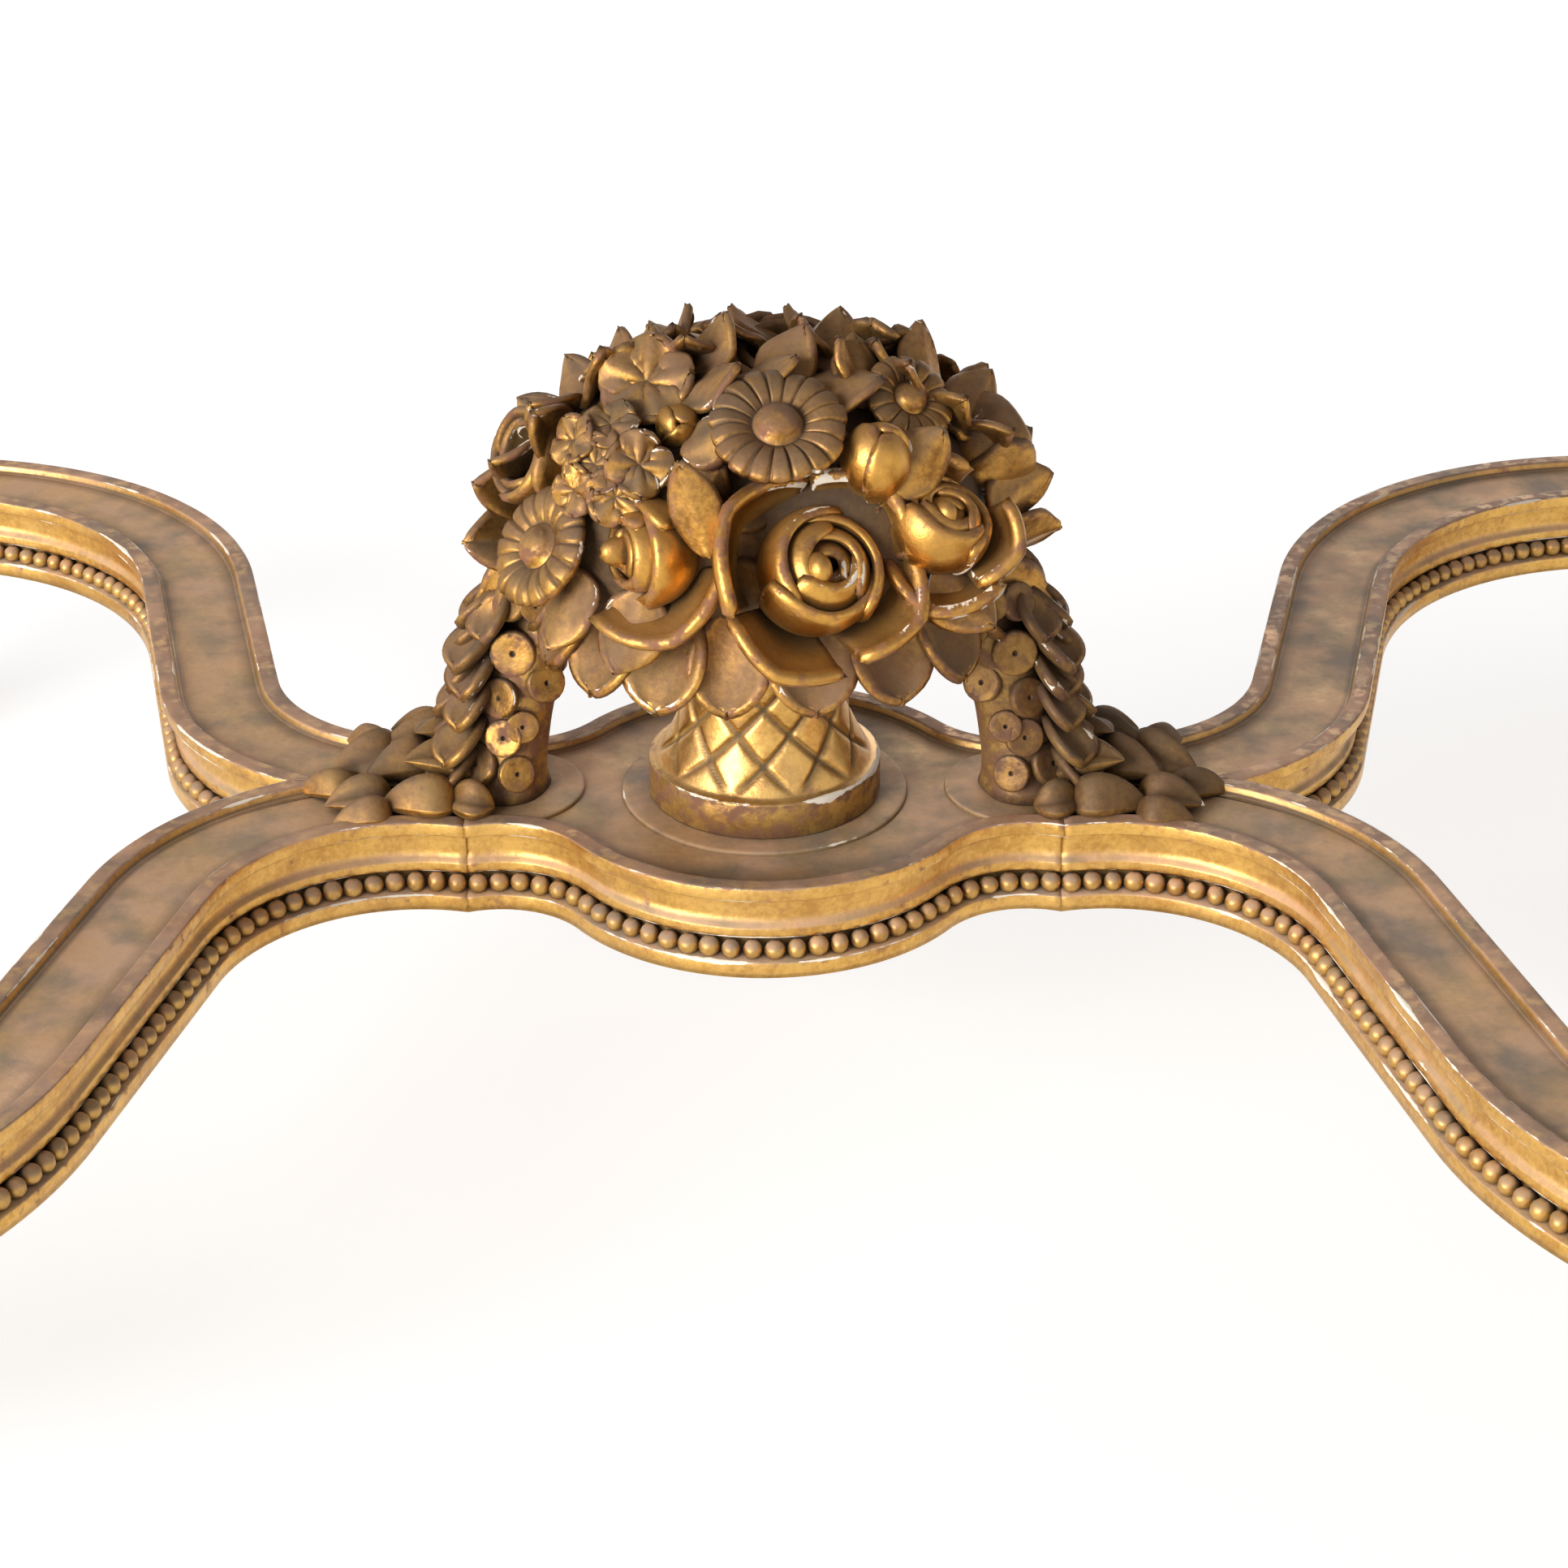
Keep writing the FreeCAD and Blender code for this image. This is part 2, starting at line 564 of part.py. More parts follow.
def marble_top():
    """Marble slab with rounded corners, a round nose and a stepped underside."""
    def slab(inset, low, high):
        x = TOP_X - inset
        y = TOP_Y - inset
        r = TOP_CORNER_RADIUS - inset
        bow = -r * (1 - math.sqrt(0.5))
        points = [(x, -y + r, bow), (x, y - r, 0), (x - r, y, bow), (-x + r, y, 0),
                  (-x, y - r, bow), (-x, -y + r, 0), (-x + r, -y, bow), (x - r, -y, 0)]
        return outline(points, in_plan).extrude(V(0, 0, high - low)).translated(V(0, 0, low))

    step = FRAME_HEIGHT + TOP_STEP_HEIGHT
    crown = FRAME_HEIGHT + TOP_THICKNESS
    upper = slab(0, step, crown)
    rim = [edge for edge in upper.Edges if min(v.Z for v in edge.Vertexes) > crown - GLUE_LINE]
    upper = upper.makeFillet(TOP_NOSE_RADIUS, rim)
    return upper.fuse(slab(TOP_STEP, FRAME_HEIGHT, step)).removeSplitter()


# Stretcher

def edge_run():
    """Edge moulding from the top edge down, as inset, depth and sag of the side that ends there."""
    cove = TOP_FILLET + COVE_HEIGHT
    return [(0, 0, 0), (0, TOP_FILLET, 0), (FILLET_STEP, TOP_FILLET, 0), (COVE_DEPTH, cove, -COVE_SAG),
            (COVE_DEPTH - LIP_OUT, cove, 0), (COVE_DEPTH - LIP_OUT, CHANNEL_TOP, 0),
            (CHANNEL_DEPTH, CHANNEL_TOP, 0), (CHANNEL_DEPTH, CHANNEL_TOP + CHANNEL_HEIGHT, 0),
            (0, CHANNEL_TOP + CHANNEL_HEIGHT + LEDGE_DROP, 0), (0, STRETCHER_THICKNESS, 0)]


def arm_section(centre_radius):
    """Arm section about its middle line at a radius: moulded edges, rim and sunk panel on top."""
    half = ARM_WIDTH / 2
    run = edge_run()
    right = [(half - inset, -depth, sag) for inset, depth, sag in run]
    sags = [sag for _, _, sag in run[1:]] + [0]
    left = [(inset - half, -depth, sag) for (inset, depth, _), sag in zip(run[::-1], [0] + sags[-2::-1])]
    panel = [(-half + RIM_WIDTH, 0, 0), (-half + RIM_WIDTH, -PANEL_DEPTH, 0),
             (half - RIM_WIDTH, -PANEL_DEPTH, 0), (half - RIM_WIDTH, 0, 0)]
    points = right + left + panel
    return outline(points, lambda a, b: V(centre_radius + a, 0, STRETCHER_TOP + b))


def arm_bend(centre, radius, start, sweep):
    """Arm section carried round a plan circle from one angle through another."""
    face = arm_section(radius)
    face.rotate(V(0, 0, 0), V(0, 0, 1), start)
    bend = face.revolve(V(0, 0, 0), V(0, 0, 1), sweep)
    return bend.translated(centre)


def arm_straight(middle, heading, length):
    """Arm section carried straight from a point along a heading in degrees."""
    face = arm_section(0)
    face.rotate(V(0, 0, 0), V(0, 0, 1), heading - 90)
    along = V(math.cos(math.radians(heading)), math.sin(math.radians(heading)), 0)
    return face.extrude(along * length).translated(middle)


def on_circle(centre, radius, angle):
    """Point of a plan circle at an angle in degrees."""
    turn = math.radians(angle)
    return centre + V(math.cos(turn), math.sin(turn), 0) * radius


def joint_dowels(grow):
    """Dowels across the joint between the middle block and one arm pair, on the side with x positive."""
    height = STRETCHER_TOP - STRETCHER_THICKNESS / 2
    half = DOWEL_LENGTH / 2 + grow
    return [rod(V(JOINT_X - half, y, height), V(JOINT_X + half, y, height), DOWEL_RADIUS + grow)
            for y in (-DOWEL_Y, DOWEL_Y)]


def stretcher_arm():
    """One S-shaped arm with its tenon, in the quarter with x and y positive."""
    lead = math.degrees(math.asin((WAIST_X - JOINT_X) / WAIST_BEND_RADIUS)) + BEND_OVERRUN
    bend = arm_bend(WAIST_CENTRE, WAIST_MID_RADIUS, -90 - lead, ARM_HEADING + lead)
    run = arm_straight(on_circle(WAIST_CENTRE, WAIST_MID_RADIUS, ARM_HEADING - 90), ARM_HEADING, ARM_RUN)
    sweep = arm_bend(LEG_CENTRE, LEG_MID_RADIUS, ARM_HEADING + 90, -ARM_HEADING)
    stub = arm_straight(on_circle(LEG_CENTRE, LEG_MID_RADIUS, 90), 0, ARM_STUB)
    tenon = arm_tenon_box(0).translated(V(LEG_X - DIE_SIDE / 2, LEG_Y, 0))
    body = bend.fuse([run, sweep, stub, tenon])
    keep = box((JOINT_X, 0, 0), (LEG_X, LEG_Y + ARM_WIDTH, STRETCHER_TOP))
    hole = arm_peg(GLUE_LINE).translated(V(LEG_X, LEG_Y, 0))
    return body.common(keep).cut(joint_dowels(GLUE_LINE) + [hole])


def edge_cutter(centre, radius, inward, start, sweep):
    """What the moulding takes off an edge on a plan circle; inward is the way to the wood."""
    run = edge_run()
    points = [(radius + inward * inset, STRETCHER_TOP - depth, -inward * sag) for inset, depth, sag in run]
    reach = radius - inward * NOTCH_RADIUS / 2
    points = points[1:-1] + [(reach, points[-2][1], 0), (reach, points[1][1], 0)]
    face = outline(points, side_on)
    face.rotate(V(0, 0, 0), V(0, 0, 1), start)
    return face.revolve(V(0, 0, 0), V(0, 0, 1), sweep).translated(centre)


def block_outline(inset, x_end):
    """Plan of the middle block drawn in by an inset: lobe arcs, notch arcs, straight ends."""
    lobe = LOBE_RADIUS - inset
    notch = NOTCH_RADIUS + inset
    part = lobe / (lobe + notch)
    meet_x = NOTCH_CENTRE_X * part
    meet_y = NOTCH_CENTRE_Y * part
    end_y = NOTCH_CENTRE_Y - math.sqrt(notch ** 2 - (x_end - NOTCH_CENTRE_X) ** 2)
    lobe_sag = lobe - meet_y
    chord = math.hypot(meet_x - x_end, meet_y - end_y)
    notch_sag = notch - math.sqrt(notch ** 2 - chord ** 2 / 4)
    points = [(x_end, -end_y, notch_sag), (x_end, end_y, 0), (meet_x, meet_y, notch_sag),
              (-meet_x, meet_y, -lobe_sag), (-x_end, end_y, notch_sag), (-x_end, -end_y, 0),
              (-meet_x, -meet_y, notch_sag), (meet_x, -meet_y, -lobe_sag)]
    return outline(points, in_plan)


def garland_dowel(grow):
    """Dowel under the foot of the garland on the side with x positive."""
    low = V(GARLAND_FOOT_X, 0, SEAT_Z - GARLAND_DOWEL_DEPTH - grow)
    return rod(low, V(GARLAND_FOOT_X, 0, SEAT_Z + GARLAND_DOWEL_DEPTH + grow), DOWEL_RADIUS + grow)


def spigot(grow):
    """Long dowel from the middle block up through the basket into the flowers' core."""
    low = V(0, 0, SEAT_Z - SPIGOT_DEPTH - grow)
    return rod(low, V(0, 0, VASE_TOP_Z + SPIGOT_DEPTH + grow), SPIGOT_RADIUS + grow)


def stretcher_block():
    """Middle block with moulded lobes, sunk panel and low pads under the basket and the garlands."""
    bottom = STRETCHER_TOP - STRETCHER_THICKNESS
    body = block_outline(0, JOINT_X).extrude(V(0, 0, STRETCHER_THICKNESS)).translated(V(0, 0, bottom))
    spread = math.degrees(math.atan2(NOTCH_CENTRE_X, NOTCH_CENTRE_Y))
    notch_sweep = spread + NOTCH_OVERRUN
    cutters = []
    for y_side in (-1, 1):
        cutters.append(edge_cutter(V(0, 0, 0), LOBE_RADIUS, -1, y_side * 90 - spread, 2 * spread))
        for x_side in (-1, 1):
            notch = edge_cutter(V(0, 0, 0), NOTCH_RADIUS, 1, -90 - spread, notch_sweep)
            notch = notch.translated(V(NOTCH_CENTRE_X, NOTCH_CENTRE_Y, 0))
            cutters.append(mirrored(notch, x_side, y_side))
    body = body.cut(cutters)
    panel = block_outline(RIM_WIDTH, JOINT_X).extrude(V(0, 0, PANEL_DEPTH)).translated(V(0, 0, PANEL_Z))
    body = body.cut(panel)
    pads = [Part.makeCylinder(VASE_PAD_RADIUS, PAD_HEIGHT, V(0, 0, PANEL_Z))]
    for x in (-GARLAND_FOOT_X, GARLAND_FOOT_X):
        pads.append(Part.makeCylinder(GARLAND_PAD_RADIUS, PAD_HEIGHT, V(x, 0, PANEL_Z)))
    span = box((-JOINT_X, -LOBE_RADIUS, bottom), (JOINT_X, LOBE_RADIUS, STRETCHER_TOP))
    pads = [pad.common(panel).common(span) for pad in pads]
    body = body.fuse(pads)
    cuts = [spigot(GLUE_LINE)]
    for x_side in (-1, 1):
        for cut in joint_dowels(GLUE_LINE) + [garland_dowel(GLUE_LINE)]:
            cuts.append(mirrored(cut, x_side, 1))
    return body.cut(cuts)


def beads_on(edges, height):
    """Beads at an even pitch along plan edges."""
    wire = Part.Wire(edges)
    count = int(wire.Length / BEAD_PITCH) + 1
    return [Part.makeSphere(BEAD_RADIUS, point + V(0, 0, height)) for point in wire.discretize(Number=count)]


def plan_arc(centre, radius, start, end):
    """Plan arc between two angles in degrees."""
    points = [on_circle(centre, radius, angle) for angle in (start, (start + end) / 2, end)]
    return Part.Arc(*points).toShape()


def arm_beads():
    """Bead rows in both edges of the arm in the quarter with x and y positive."""
    beads = []
    start_x = JOINT_X + BEAD_PITCH / 2
    outer = WAIST_BEND_RADIUS + BEAD_INSET
    outer_start = -90 - math.degrees(math.asin((WAIST_X - start_x) / outer))
    inner = WAIST_BEND_RADIUS + ARM_WIDTH - BEAD_INSET
    inner_start = -math.degrees(math.asin((WAIST_CENTRE.y - BEAD_RADIUS - BEAD_GAP) / inner))
    stub_end = LEG_X - DIE_SIDE / 2 - BEAD_RADIUS - BEAD_GAP
    for radius, start, leg_radius in ((outer, outer_start, LEG_BEND_RADIUS - BEAD_INSET),
                                      (inner, inner_start, LEG_BEND_RADIUS - ARM_WIDTH + BEAD_INSET)):
        waist = plan_arc(WAIST_CENTRE, radius, start, ARM_HEADING - 90)
        sweep = plan_arc(LEG_CENTRE, leg_radius, ARM_HEADING + 90, 90)
        from_waist = on_circle(WAIST_CENTRE, radius, ARM_HEADING - 90)
        to_leg = on_circle(LEG_CENTRE, leg_radius, ARM_HEADING + 90)
        stub_start = on_circle(LEG_CENTRE, leg_radius, 90)
        run = Part.LineSegment(from_waist, to_leg).toShape()
        stub = Part.LineSegment(stub_start, V(stub_end, stub_start.y, 0)).toShape()
        beads += beads_on([waist, run, sweep, stub], BEAD_Z)
    return beads


def block_beads():
    """Bead rows in the front and rear edges of the middle block."""
    lobe = LOBE_RADIUS - BEAD_INSET
    notch = NOTCH_RADIUS + BEAD_INSET
    spread = math.degrees(math.atan2(NOTCH_CENTRE_X, NOTCH_CENTRE_Y))
    end = math.degrees(math.asin((JOINT_X - BEAD_PITCH / 2 - NOTCH_CENTRE_X) / notch))
    right = plan_arc(V(NOTCH_CENTRE_X, NOTCH_CENTRE_Y, 0), notch, end - 90, -90 - spread)
    middle = plan_arc(V(0, 0, 0), lobe, 90 - spread, 90 + spread)
    left = plan_arc(V(-NOTCH_CENTRE_X, NOTCH_CENTRE_Y, 0), notch, spread - 90, -90 - end)
    rear = beads_on([right, middle, left], BEAD_Z)
    return rear + [mirrored(bead, 1, -1) for bead in rear]


# Basket, flowers and garlands

def vase():
    """Turned basket foot: a round base and a flared neck, bored for the spigot."""
    base = SEAT_Z + VASE_BASE_HEIGHT
    neck = STRETCHER_TOP + VASE_NECK_RISE
    points = [(0, SEAT_Z, 0), (VASE_BASE_RADIUS, SEAT_Z, 0), (VASE_BASE_RADIUS, base, 0),
              (VASE_BASE_RADIUS - VASE_BASE_STEP, base, 0), (VASE_NECK_RADIUS, neck, VASE_NECK_HOLLOW),
              (VASE_TOP_RADIUS, VASE_TOP_Z, VASE_FLARE_HOLLOW), (0, VASE_TOP_Z, 0)]
    return turned(points).cut(spigot(GLUE_LINE))


def bouquet_core():
    """Long round block that the flowers sit on, flat where it meets the basket."""
    half = CORE_STRETCH
    bow = -CORE_RADIUS * (1 - math.sqrt(0.5))
    points = [(-half - CORE_RADIUS, 0, bow), (half + CORE_RADIUS, 0, 0), (half, CORE_RADIUS, bow),
              (-half, CORE_RADIUS, 0)]
    body = outline(points, side_on).revolve(V(0, 0, 0), V(1, 0, 0), 360).translated(CORE_CENTRE)
    reach = 2 * (CORE_STRETCH + CORE_RADIUS)
    below = box((-reach, -reach, 0), (reach, reach, VASE_TOP_Z))
    return body.cut([below, spigot(GLUE_LINE)])


def core_place(azimuth, elevation):
    """Point of the core's surface in a direction from its centre, and the way out of it there."""
    az = math.radians(azimuth)
    el = math.radians(elevation)
    ray = V(math.sin(az) * math.cos(el), -math.cos(az) * math.cos(el), math.sin(el))
    reach = CORE_RADIUS / max(math.hypot(ray.y, ray.z), 1e-6)
    if abs(ray.x) * reach > CORE_STRETCH:
        end = V(math.copysign(CORE_STRETCH, ray.x), 0, 0)
        along = ray.dot(end)
        reach = along + math.sqrt(along ** 2 - CORE_STRETCH ** 2 + CORE_RADIUS ** 2)
        out = (ray * reach - end).normalize()
    else:
        out = V(0, ray.y, ray.z).normalize()
    return CORE_CENTRE + ray * reach, out


def notches(radius, size, low, high, count):
    """Round upright cutters on a circle, which part the petals of a turned flower."""
    cutter = Part.makeCylinder(size, high - low, V(radius, 0, low))
    return [turned_about_z(cutter, 360 * i / count) for i in range(count)]


def dome_sag(base, height):
    """Sag of the arc of a round dome, from its base radius up to its top on the axis."""
    ball = (base ** 2 + height ** 2) / (2 * height)
    return ball - math.sqrt(ball ** 2 - (base ** 2 + height ** 2) / 4)


def rose(radius):
    """Open rose facing +Z: a round heart with a hollow, inside a cup parted into petals."""
    r = radius
    points = [(0, 0, 0), (0.5 * r, 0, 0), (r, 0.78 * r, -0.16 * r), (0.92 * r, 0.86 * r, -0.03 * r),
              (0.66 * r, 0.5 * r, 0.1 * r), (0.66 * r, 0.72 * r, -0.02 * r), (0.3 * r, 1.16 * r, -0.12 * r),
              (0.22 * r, 1.16 * r, 0), (0.18 * r, 0.9 * r, 0), (0, 0.9 * r, 0)]
    return turned(points).cut(notches(1.06 * r, 0.2 * r, 0.3 * r, r, ROSE_PETALS))


def daisy(radius, petals, stem):
    """Flat daisy facing +Z: a dished disc parted into petals round a domed button."""
    r = radius
    button = 0.35 * r
    dome = 0.7 * button
    face = 1.6 * PETAL_THICKNESS
    points = [(0, 0, 0), (0.45 * r, 0, 0), (r, PETAL_THICKNESS, 0), (r, 2 * PETAL_THICKNESS, 0),
              (button, face, 0), (0, face + dome, -dome_sag(button, dome))]
    head = turned(points).cut(notches(1.02 * r, 0.07 * r, 0, 3 * PETAL_THICKNESS, petals))
    if stem == 0:
        return head
    return head.fuse(Part.makeCylinder(STEM_RADIUS, stem + GLUE_LINE, V(0, 0, -stem)))


def trumpet(radius, stem):
    """Funnel flower facing +Z with a lobed rim."""
    r = radius
    points = [(0, -stem, 0), (STEM_RADIUS, -stem, 0), (STEM_RADIUS, 0, 0), (r, 0.75 * r, 0.18 * r),
              (r, 0.75 * r + PETAL_THICKNESS / 2, 0), (0.25 * r, 0.55 * r, -0.14 * r), (0, 0.5 * r, 0)]
    return turned(points).cut(notches(1.08 * r, 0.22 * r, 0, 2 * r, TRUMPET_PETALS))


def bud(radius, stem):
    """Closed bud facing +Z on a short stem."""
    r = radius
    points = [(0, -stem, 0), (STEM_RADIUS, -stem, 0), (STEM_RADIUS, 0, 0), (r, 0.9 * r, -0.2 * r),
              (0.12 * r, 2.3 * r, -0.2 * r), (0, 2.3 * r, 0)]
    return turned(points)


def petal(length, width):
    """Pointed cupped petal along +X from its root, hollow towards -Z."""
    root = 0.16 * width
    points = [(0, -root, 0), (0.5 * length, -width / 2, -0.05 * length), (length, 0, -0.08 * length),
              (0.5 * length, width / 2, -0.08 * length), (0, root, -0.05 * length)]
    prism = outline(points, in_plan).extrude(V(0, 0, length)).translated(V(0, 0, -length / 2))
    centre = V(length / 2, 0, -PETAL_CUP_RADIUS)
    shell = prism.common(Part.makeSphere(PETAL_CUP_RADIUS, centre))
    return shell.cut(Part.makeSphere(PETAL_CUP_RADIUS - PETAL_THICKNESS, centre))


def flower_twins(head, azimuth, elevation, lift):
    """A flower head at its place on the core and its twin half a turn on."""
    point, out = core_place(azimuth, elevation)
    one = placed(head, point + out * lift, out)
    return [turned_about_z(one, turn) for turn in HALF_TURNS]


def skirt_petals():
    """Ring of petals that hang round the lower edge of the flowers."""
    blank = petal(SKIRT_LENGTH, SKIRT_WIDTH)
    flare = math.radians(SKIRT_FLARE)
    petals = []
    for azimuth in SKIRT_AZIMUTHS:
        point, out = core_place(azimuth, SKIRT_ELEVATION)
        level = V(out.x, out.y, 0).normalize()
        down = level * math.sin(flare) - V(0, 0, math.cos(flare))
        face = level * math.cos(flare) + V(0, 0, math.sin(flare))
        seat = point + face * (PETAL_THICKNESS + SKIRT_LENGTH ** 2 / (8 * PETAL_CUP_RADIUS) + SKIRT_LIFT)
        one = placed(blank, seat, face, down)
        petals += [turned_about_z(one, turn) for turn in HALF_TURNS]
    return petals


def bouquet_leaves():
    """Small leaves that lie between the flower heads."""
    blank = petal(LEAF_LENGTH, LEAF_WIDTH)
    hollow = LEAF_LENGTH ** 2 / 8 * (1 / (PETAL_CUP_RADIUS - PETAL_THICKNESS) - 1 / CORE_RADIUS)
    lift = PETAL_THICKNESS + hollow + SEAT_GAP
    leaves = []
    for azimuth, elevation in LEAVES:
        point, out = core_place(azimuth, elevation)
        upward = V(0, 0, 1) - out * out.z
        one = placed(blank, point + out * lift - upward.normalize() * (LEAF_LENGTH / 2), out, upward)
        leaves += [turned_about_z(one, turn) for turn in HALF_TURNS]
    return leaves


def garland_axis():
    """Foot and top of the garland's middle line on the side with x positive."""
    foot = V(GARLAND_FOOT_X, 0, SEAT_Z)
    return foot, V(GARLAND_TOP_X, 0, STRETCHER_TOP + GARLAND_TOP_RISE)


def garland(core):
    """Leaning column from the flowers down to the middle block, on the side with x positive."""
    foot, top = garland_axis()
    line = top - foot
    column = Part.makeCone(GARLAND_FOOT_RADIUS, GARLAND_TOP_RADIUS, line.Length, foot, line)
    tip = Part.makeSphere(GARLAND_TOP_RADIUS, top)
    below = box((0, -LOBE_RADIUS, SEAT_Z - LOBE_RADIUS), (LEG_X, LOBE_RADIUS, SEAT_Z))
    reach = V(line).normalize() * GARLAND_FOOT_RADIUS
    root = rod(foot - reach, foot + reach, GARLAND_FOOT_RADIUS)
    return column.fuse([tip, root]).cut([below, core, garland_dowel(GLUE_LINE)])


def garland_scales(column):
    """Overlapping round scales on the garland's outer side, for x positive."""
    foot, top = garland_axis()
    line = (top - foot).normalize()
    outward = V(line.z, 0, -line.x)
    sideways = V(0, 1, 0)
    blank = Part.makeCylinder(SCALE_RADIUS, SCALE_THICKNESS)
    tilt = math.radians(SCALE_TILT)
    pitch = ((top - foot).Length - 2 * SCALE_RADIUS - SCALE_THICKNESS) / (SCALE_TIERS - 1)
    scales = []
    for tier in range(SCALE_TIERS):
        rise = SCALE_RADIUS + SCALE_THICKNESS + tier * pitch
        radius = GARLAND_FOOT_RADIUS + (GARLAND_TOP_RADIUS - GARLAND_FOOT_RADIUS) * rise / (top - foot).Length
        for column_index in range(SCALE_COLUMNS - tier % 2):
            share = (column_index + (tier % 2) / 2) / (SCALE_COLUMNS - 1) - 0.5
            turn = math.radians(SCALE_SPREAD * share)
            side = outward * math.cos(turn) + sideways * math.sin(turn)
            up = side * math.cos(tilt) - line * math.sin(tilt)
            lift = radius + SCALE_RADIUS * math.sin(tilt) - SCALE_THICKNESS / 2
            scales.append(placed(blank, foot + line * rise + side * lift, up))
    return [scale.cut(column) for scale in scales]


def leaf_spray():
    """Carved spray of leaves at the garland's foot, lying on the arms, for x positive."""
    start = GARLAND_FOOT_X + GARLAND_FOOT_RADIUS + SPRAY_CLEAR
    far = start + SPRAY_BASE_LENGTH
    half = SPRAY_BASE_WIDTH / 2
    points = [(start, -half / 2, 0), (far, 0, -half / 3), (start, half / 2, -half / 3)]
    low = PANEL_Z + GLUE_LINE
    base = outline(points, in_plan).extrude(V(0, 0, SPRAY_BASE_HEIGHT)).translated(V(0, 0, low))
    blank = petal(SPRAY_LEAF_LENGTH, SPRAY_LEAF_WIDTH)
    leaves = []
    for along, across, heading, slope in SPRAY_LEAVES:
        root = V(start + along * SPRAY_BASE_LENGTH, across * SPRAY_BASE_WIDTH, low + 2 * SPRAY_BASE_HEIGHT)
        turn = math.radians(heading)
        rise = math.radians(slope)
        level = V(math.cos(turn), math.sin(turn), 0)
        ahead = level * math.cos(rise) + V(0, 0, math.sin(rise))
        up = V(0, 0, math.cos(rise)) - level * math.sin(rise)
        leaves.append(placed(blank, root, up, ahead))
    body = base.fuse(leaves)
    below = box((0, -LOBE_RADIUS, 0), (LEG_X, LOBE_RADIUS, low))
    return body.cut(below)


def save(name, solids):
    """Write one node from its solids."""
    shape = solids[0] if len(solids) == 1 else Part.makeCompound(solids)
    shape.exportStep(os.path.join("parts", name + ".step"))
    print(name, len(shape.Solids), round(shape.Volume), shape.isValid())


def save_frame():
    """Legs, apron, braces, bearers and marble."""
    save("marble_top", [marble_top()])
    one_leg = leg()
    brace = corner_brace()
    screws = brace_screws()
    pegs = [peg.translated(V(LEG_X, LEG_Y, 0)) for peg in rail_pegs(0)]
    foot_peg = arm_peg(0).translated(V(LEG_X, LEG_Y, 0))
    for quarter, side in QUARTERS.items():
        save("leg_" + quarter, [mirrored(one_leg, *side)])
    save("leg_rosettes", leg_rosettes())
    save("corner_braces", [mirrored(brace, *side) for side in QUARTERS.values()])
    save("brace_screws", [mirrored(one, *side) for side in QUARTERS.values() for one in screws])
    save("apron_pegs", [mirrored(one, *side) for side in QUARTERS.values() for one in pegs])
    save("stretcher_pegs", [mirrored(foot_peg, *side) for side in QUARTERS.values()])
    save("apron_rear", [long_rail()])
    save("apron_front", [turned_about_z(long_rail(), 180)])
    save("apron_right", [short_rail()])
    save("apron_left", [turned_about_z(short_rail(), 180)])
    save("apron_beads", apron_beads())
    save("bearer_left", [bearer(-1, 0)])
    save("bearer_right", [bearer(1, 0)])


def save_stretcher():
    """Middle block, four arms, their beads and dowels."""
    save("stretcher_block", [stretcher_block()])
    save("stretcher_block_beads", block_beads())
    arm = stretcher_arm()
    beads = arm_beads()
    for quarter, side in QUARTERS.items():
        save("stretcher_arm_" + quarter, [mirrored(arm, *side)])
        save("stretcher_beads_" + quarter, [mirrored(bead, *side) for bead in beads])
    save("stretcher_dowels", [mirrored(one, x, 1) for x in (-1, 1) for one in joint_dowels(0)])


def save_finial():
    """Basket, flowers, garlands and leaves."""
    core = bouquet_core()
    save("vase", [vase()])
    save("vase_spigot", [spigot(0)])
    save("bouquet_core", [core])
    for name, (azimuth, elevation, radius) in ROSES.items():
        front, rear = flower_twins(rose(radius), azimuth, elevation, -ROSE_SINK_SHARE * radius)
        save("rose_" + name, [front.cut(core)])
        save("rose_rear_" + name, [rear.cut(core)])
    for name, (azimuth, elevation, radius) in DAISIES.items():
        front, rear = flower_twins(daisy(radius, DAISY_PETALS, DAISY_STEM), azimuth, elevation, DAISY_STEM)
        save("daisy_" + name, [front])
        save("daisy_rear_" + name, [rear])
    for name, (azimuth, elevation, radius) in TRUMPETS.items():
        head = trumpet(radius, TRUMPET_STEM)
        save("trumpets_" + name, flower_twins(head, azimuth, elevation, TRUMPET_STEM))
    for name, (azimuth, elevation, radius) in BUDS.items():
        head = bud(radius, BUD_STEM)
        save("buds_" + name, flower_twins(head, azimuth, elevation, BUD_STEM))
    save("bouquet_leaves", bouquet_leaves())
    save("skirt_petals", skirt_petals())
    column = garland(core)
    scales = garland_scales(column)
    spray = leaf_spray()
    for name, x_side in (("left", -1), ("right", 1)):
        save("garland_" + name, [mirrored(column, x_side, 1)])
        save("garland_scales_" + name, [mirrored(scale, x_side, 1) for scale in scales])
        save("leaf_spray_" + name, [mirrored(spray, x_side, 1)])
    save("garland_dowels", [mirrored(garland_dowel(0), x_side, 1) for x_side in (-1, 1)])


os.makedirs("parts", exist_ok=True)
save_frame()
save_stretcher()
save_finial()
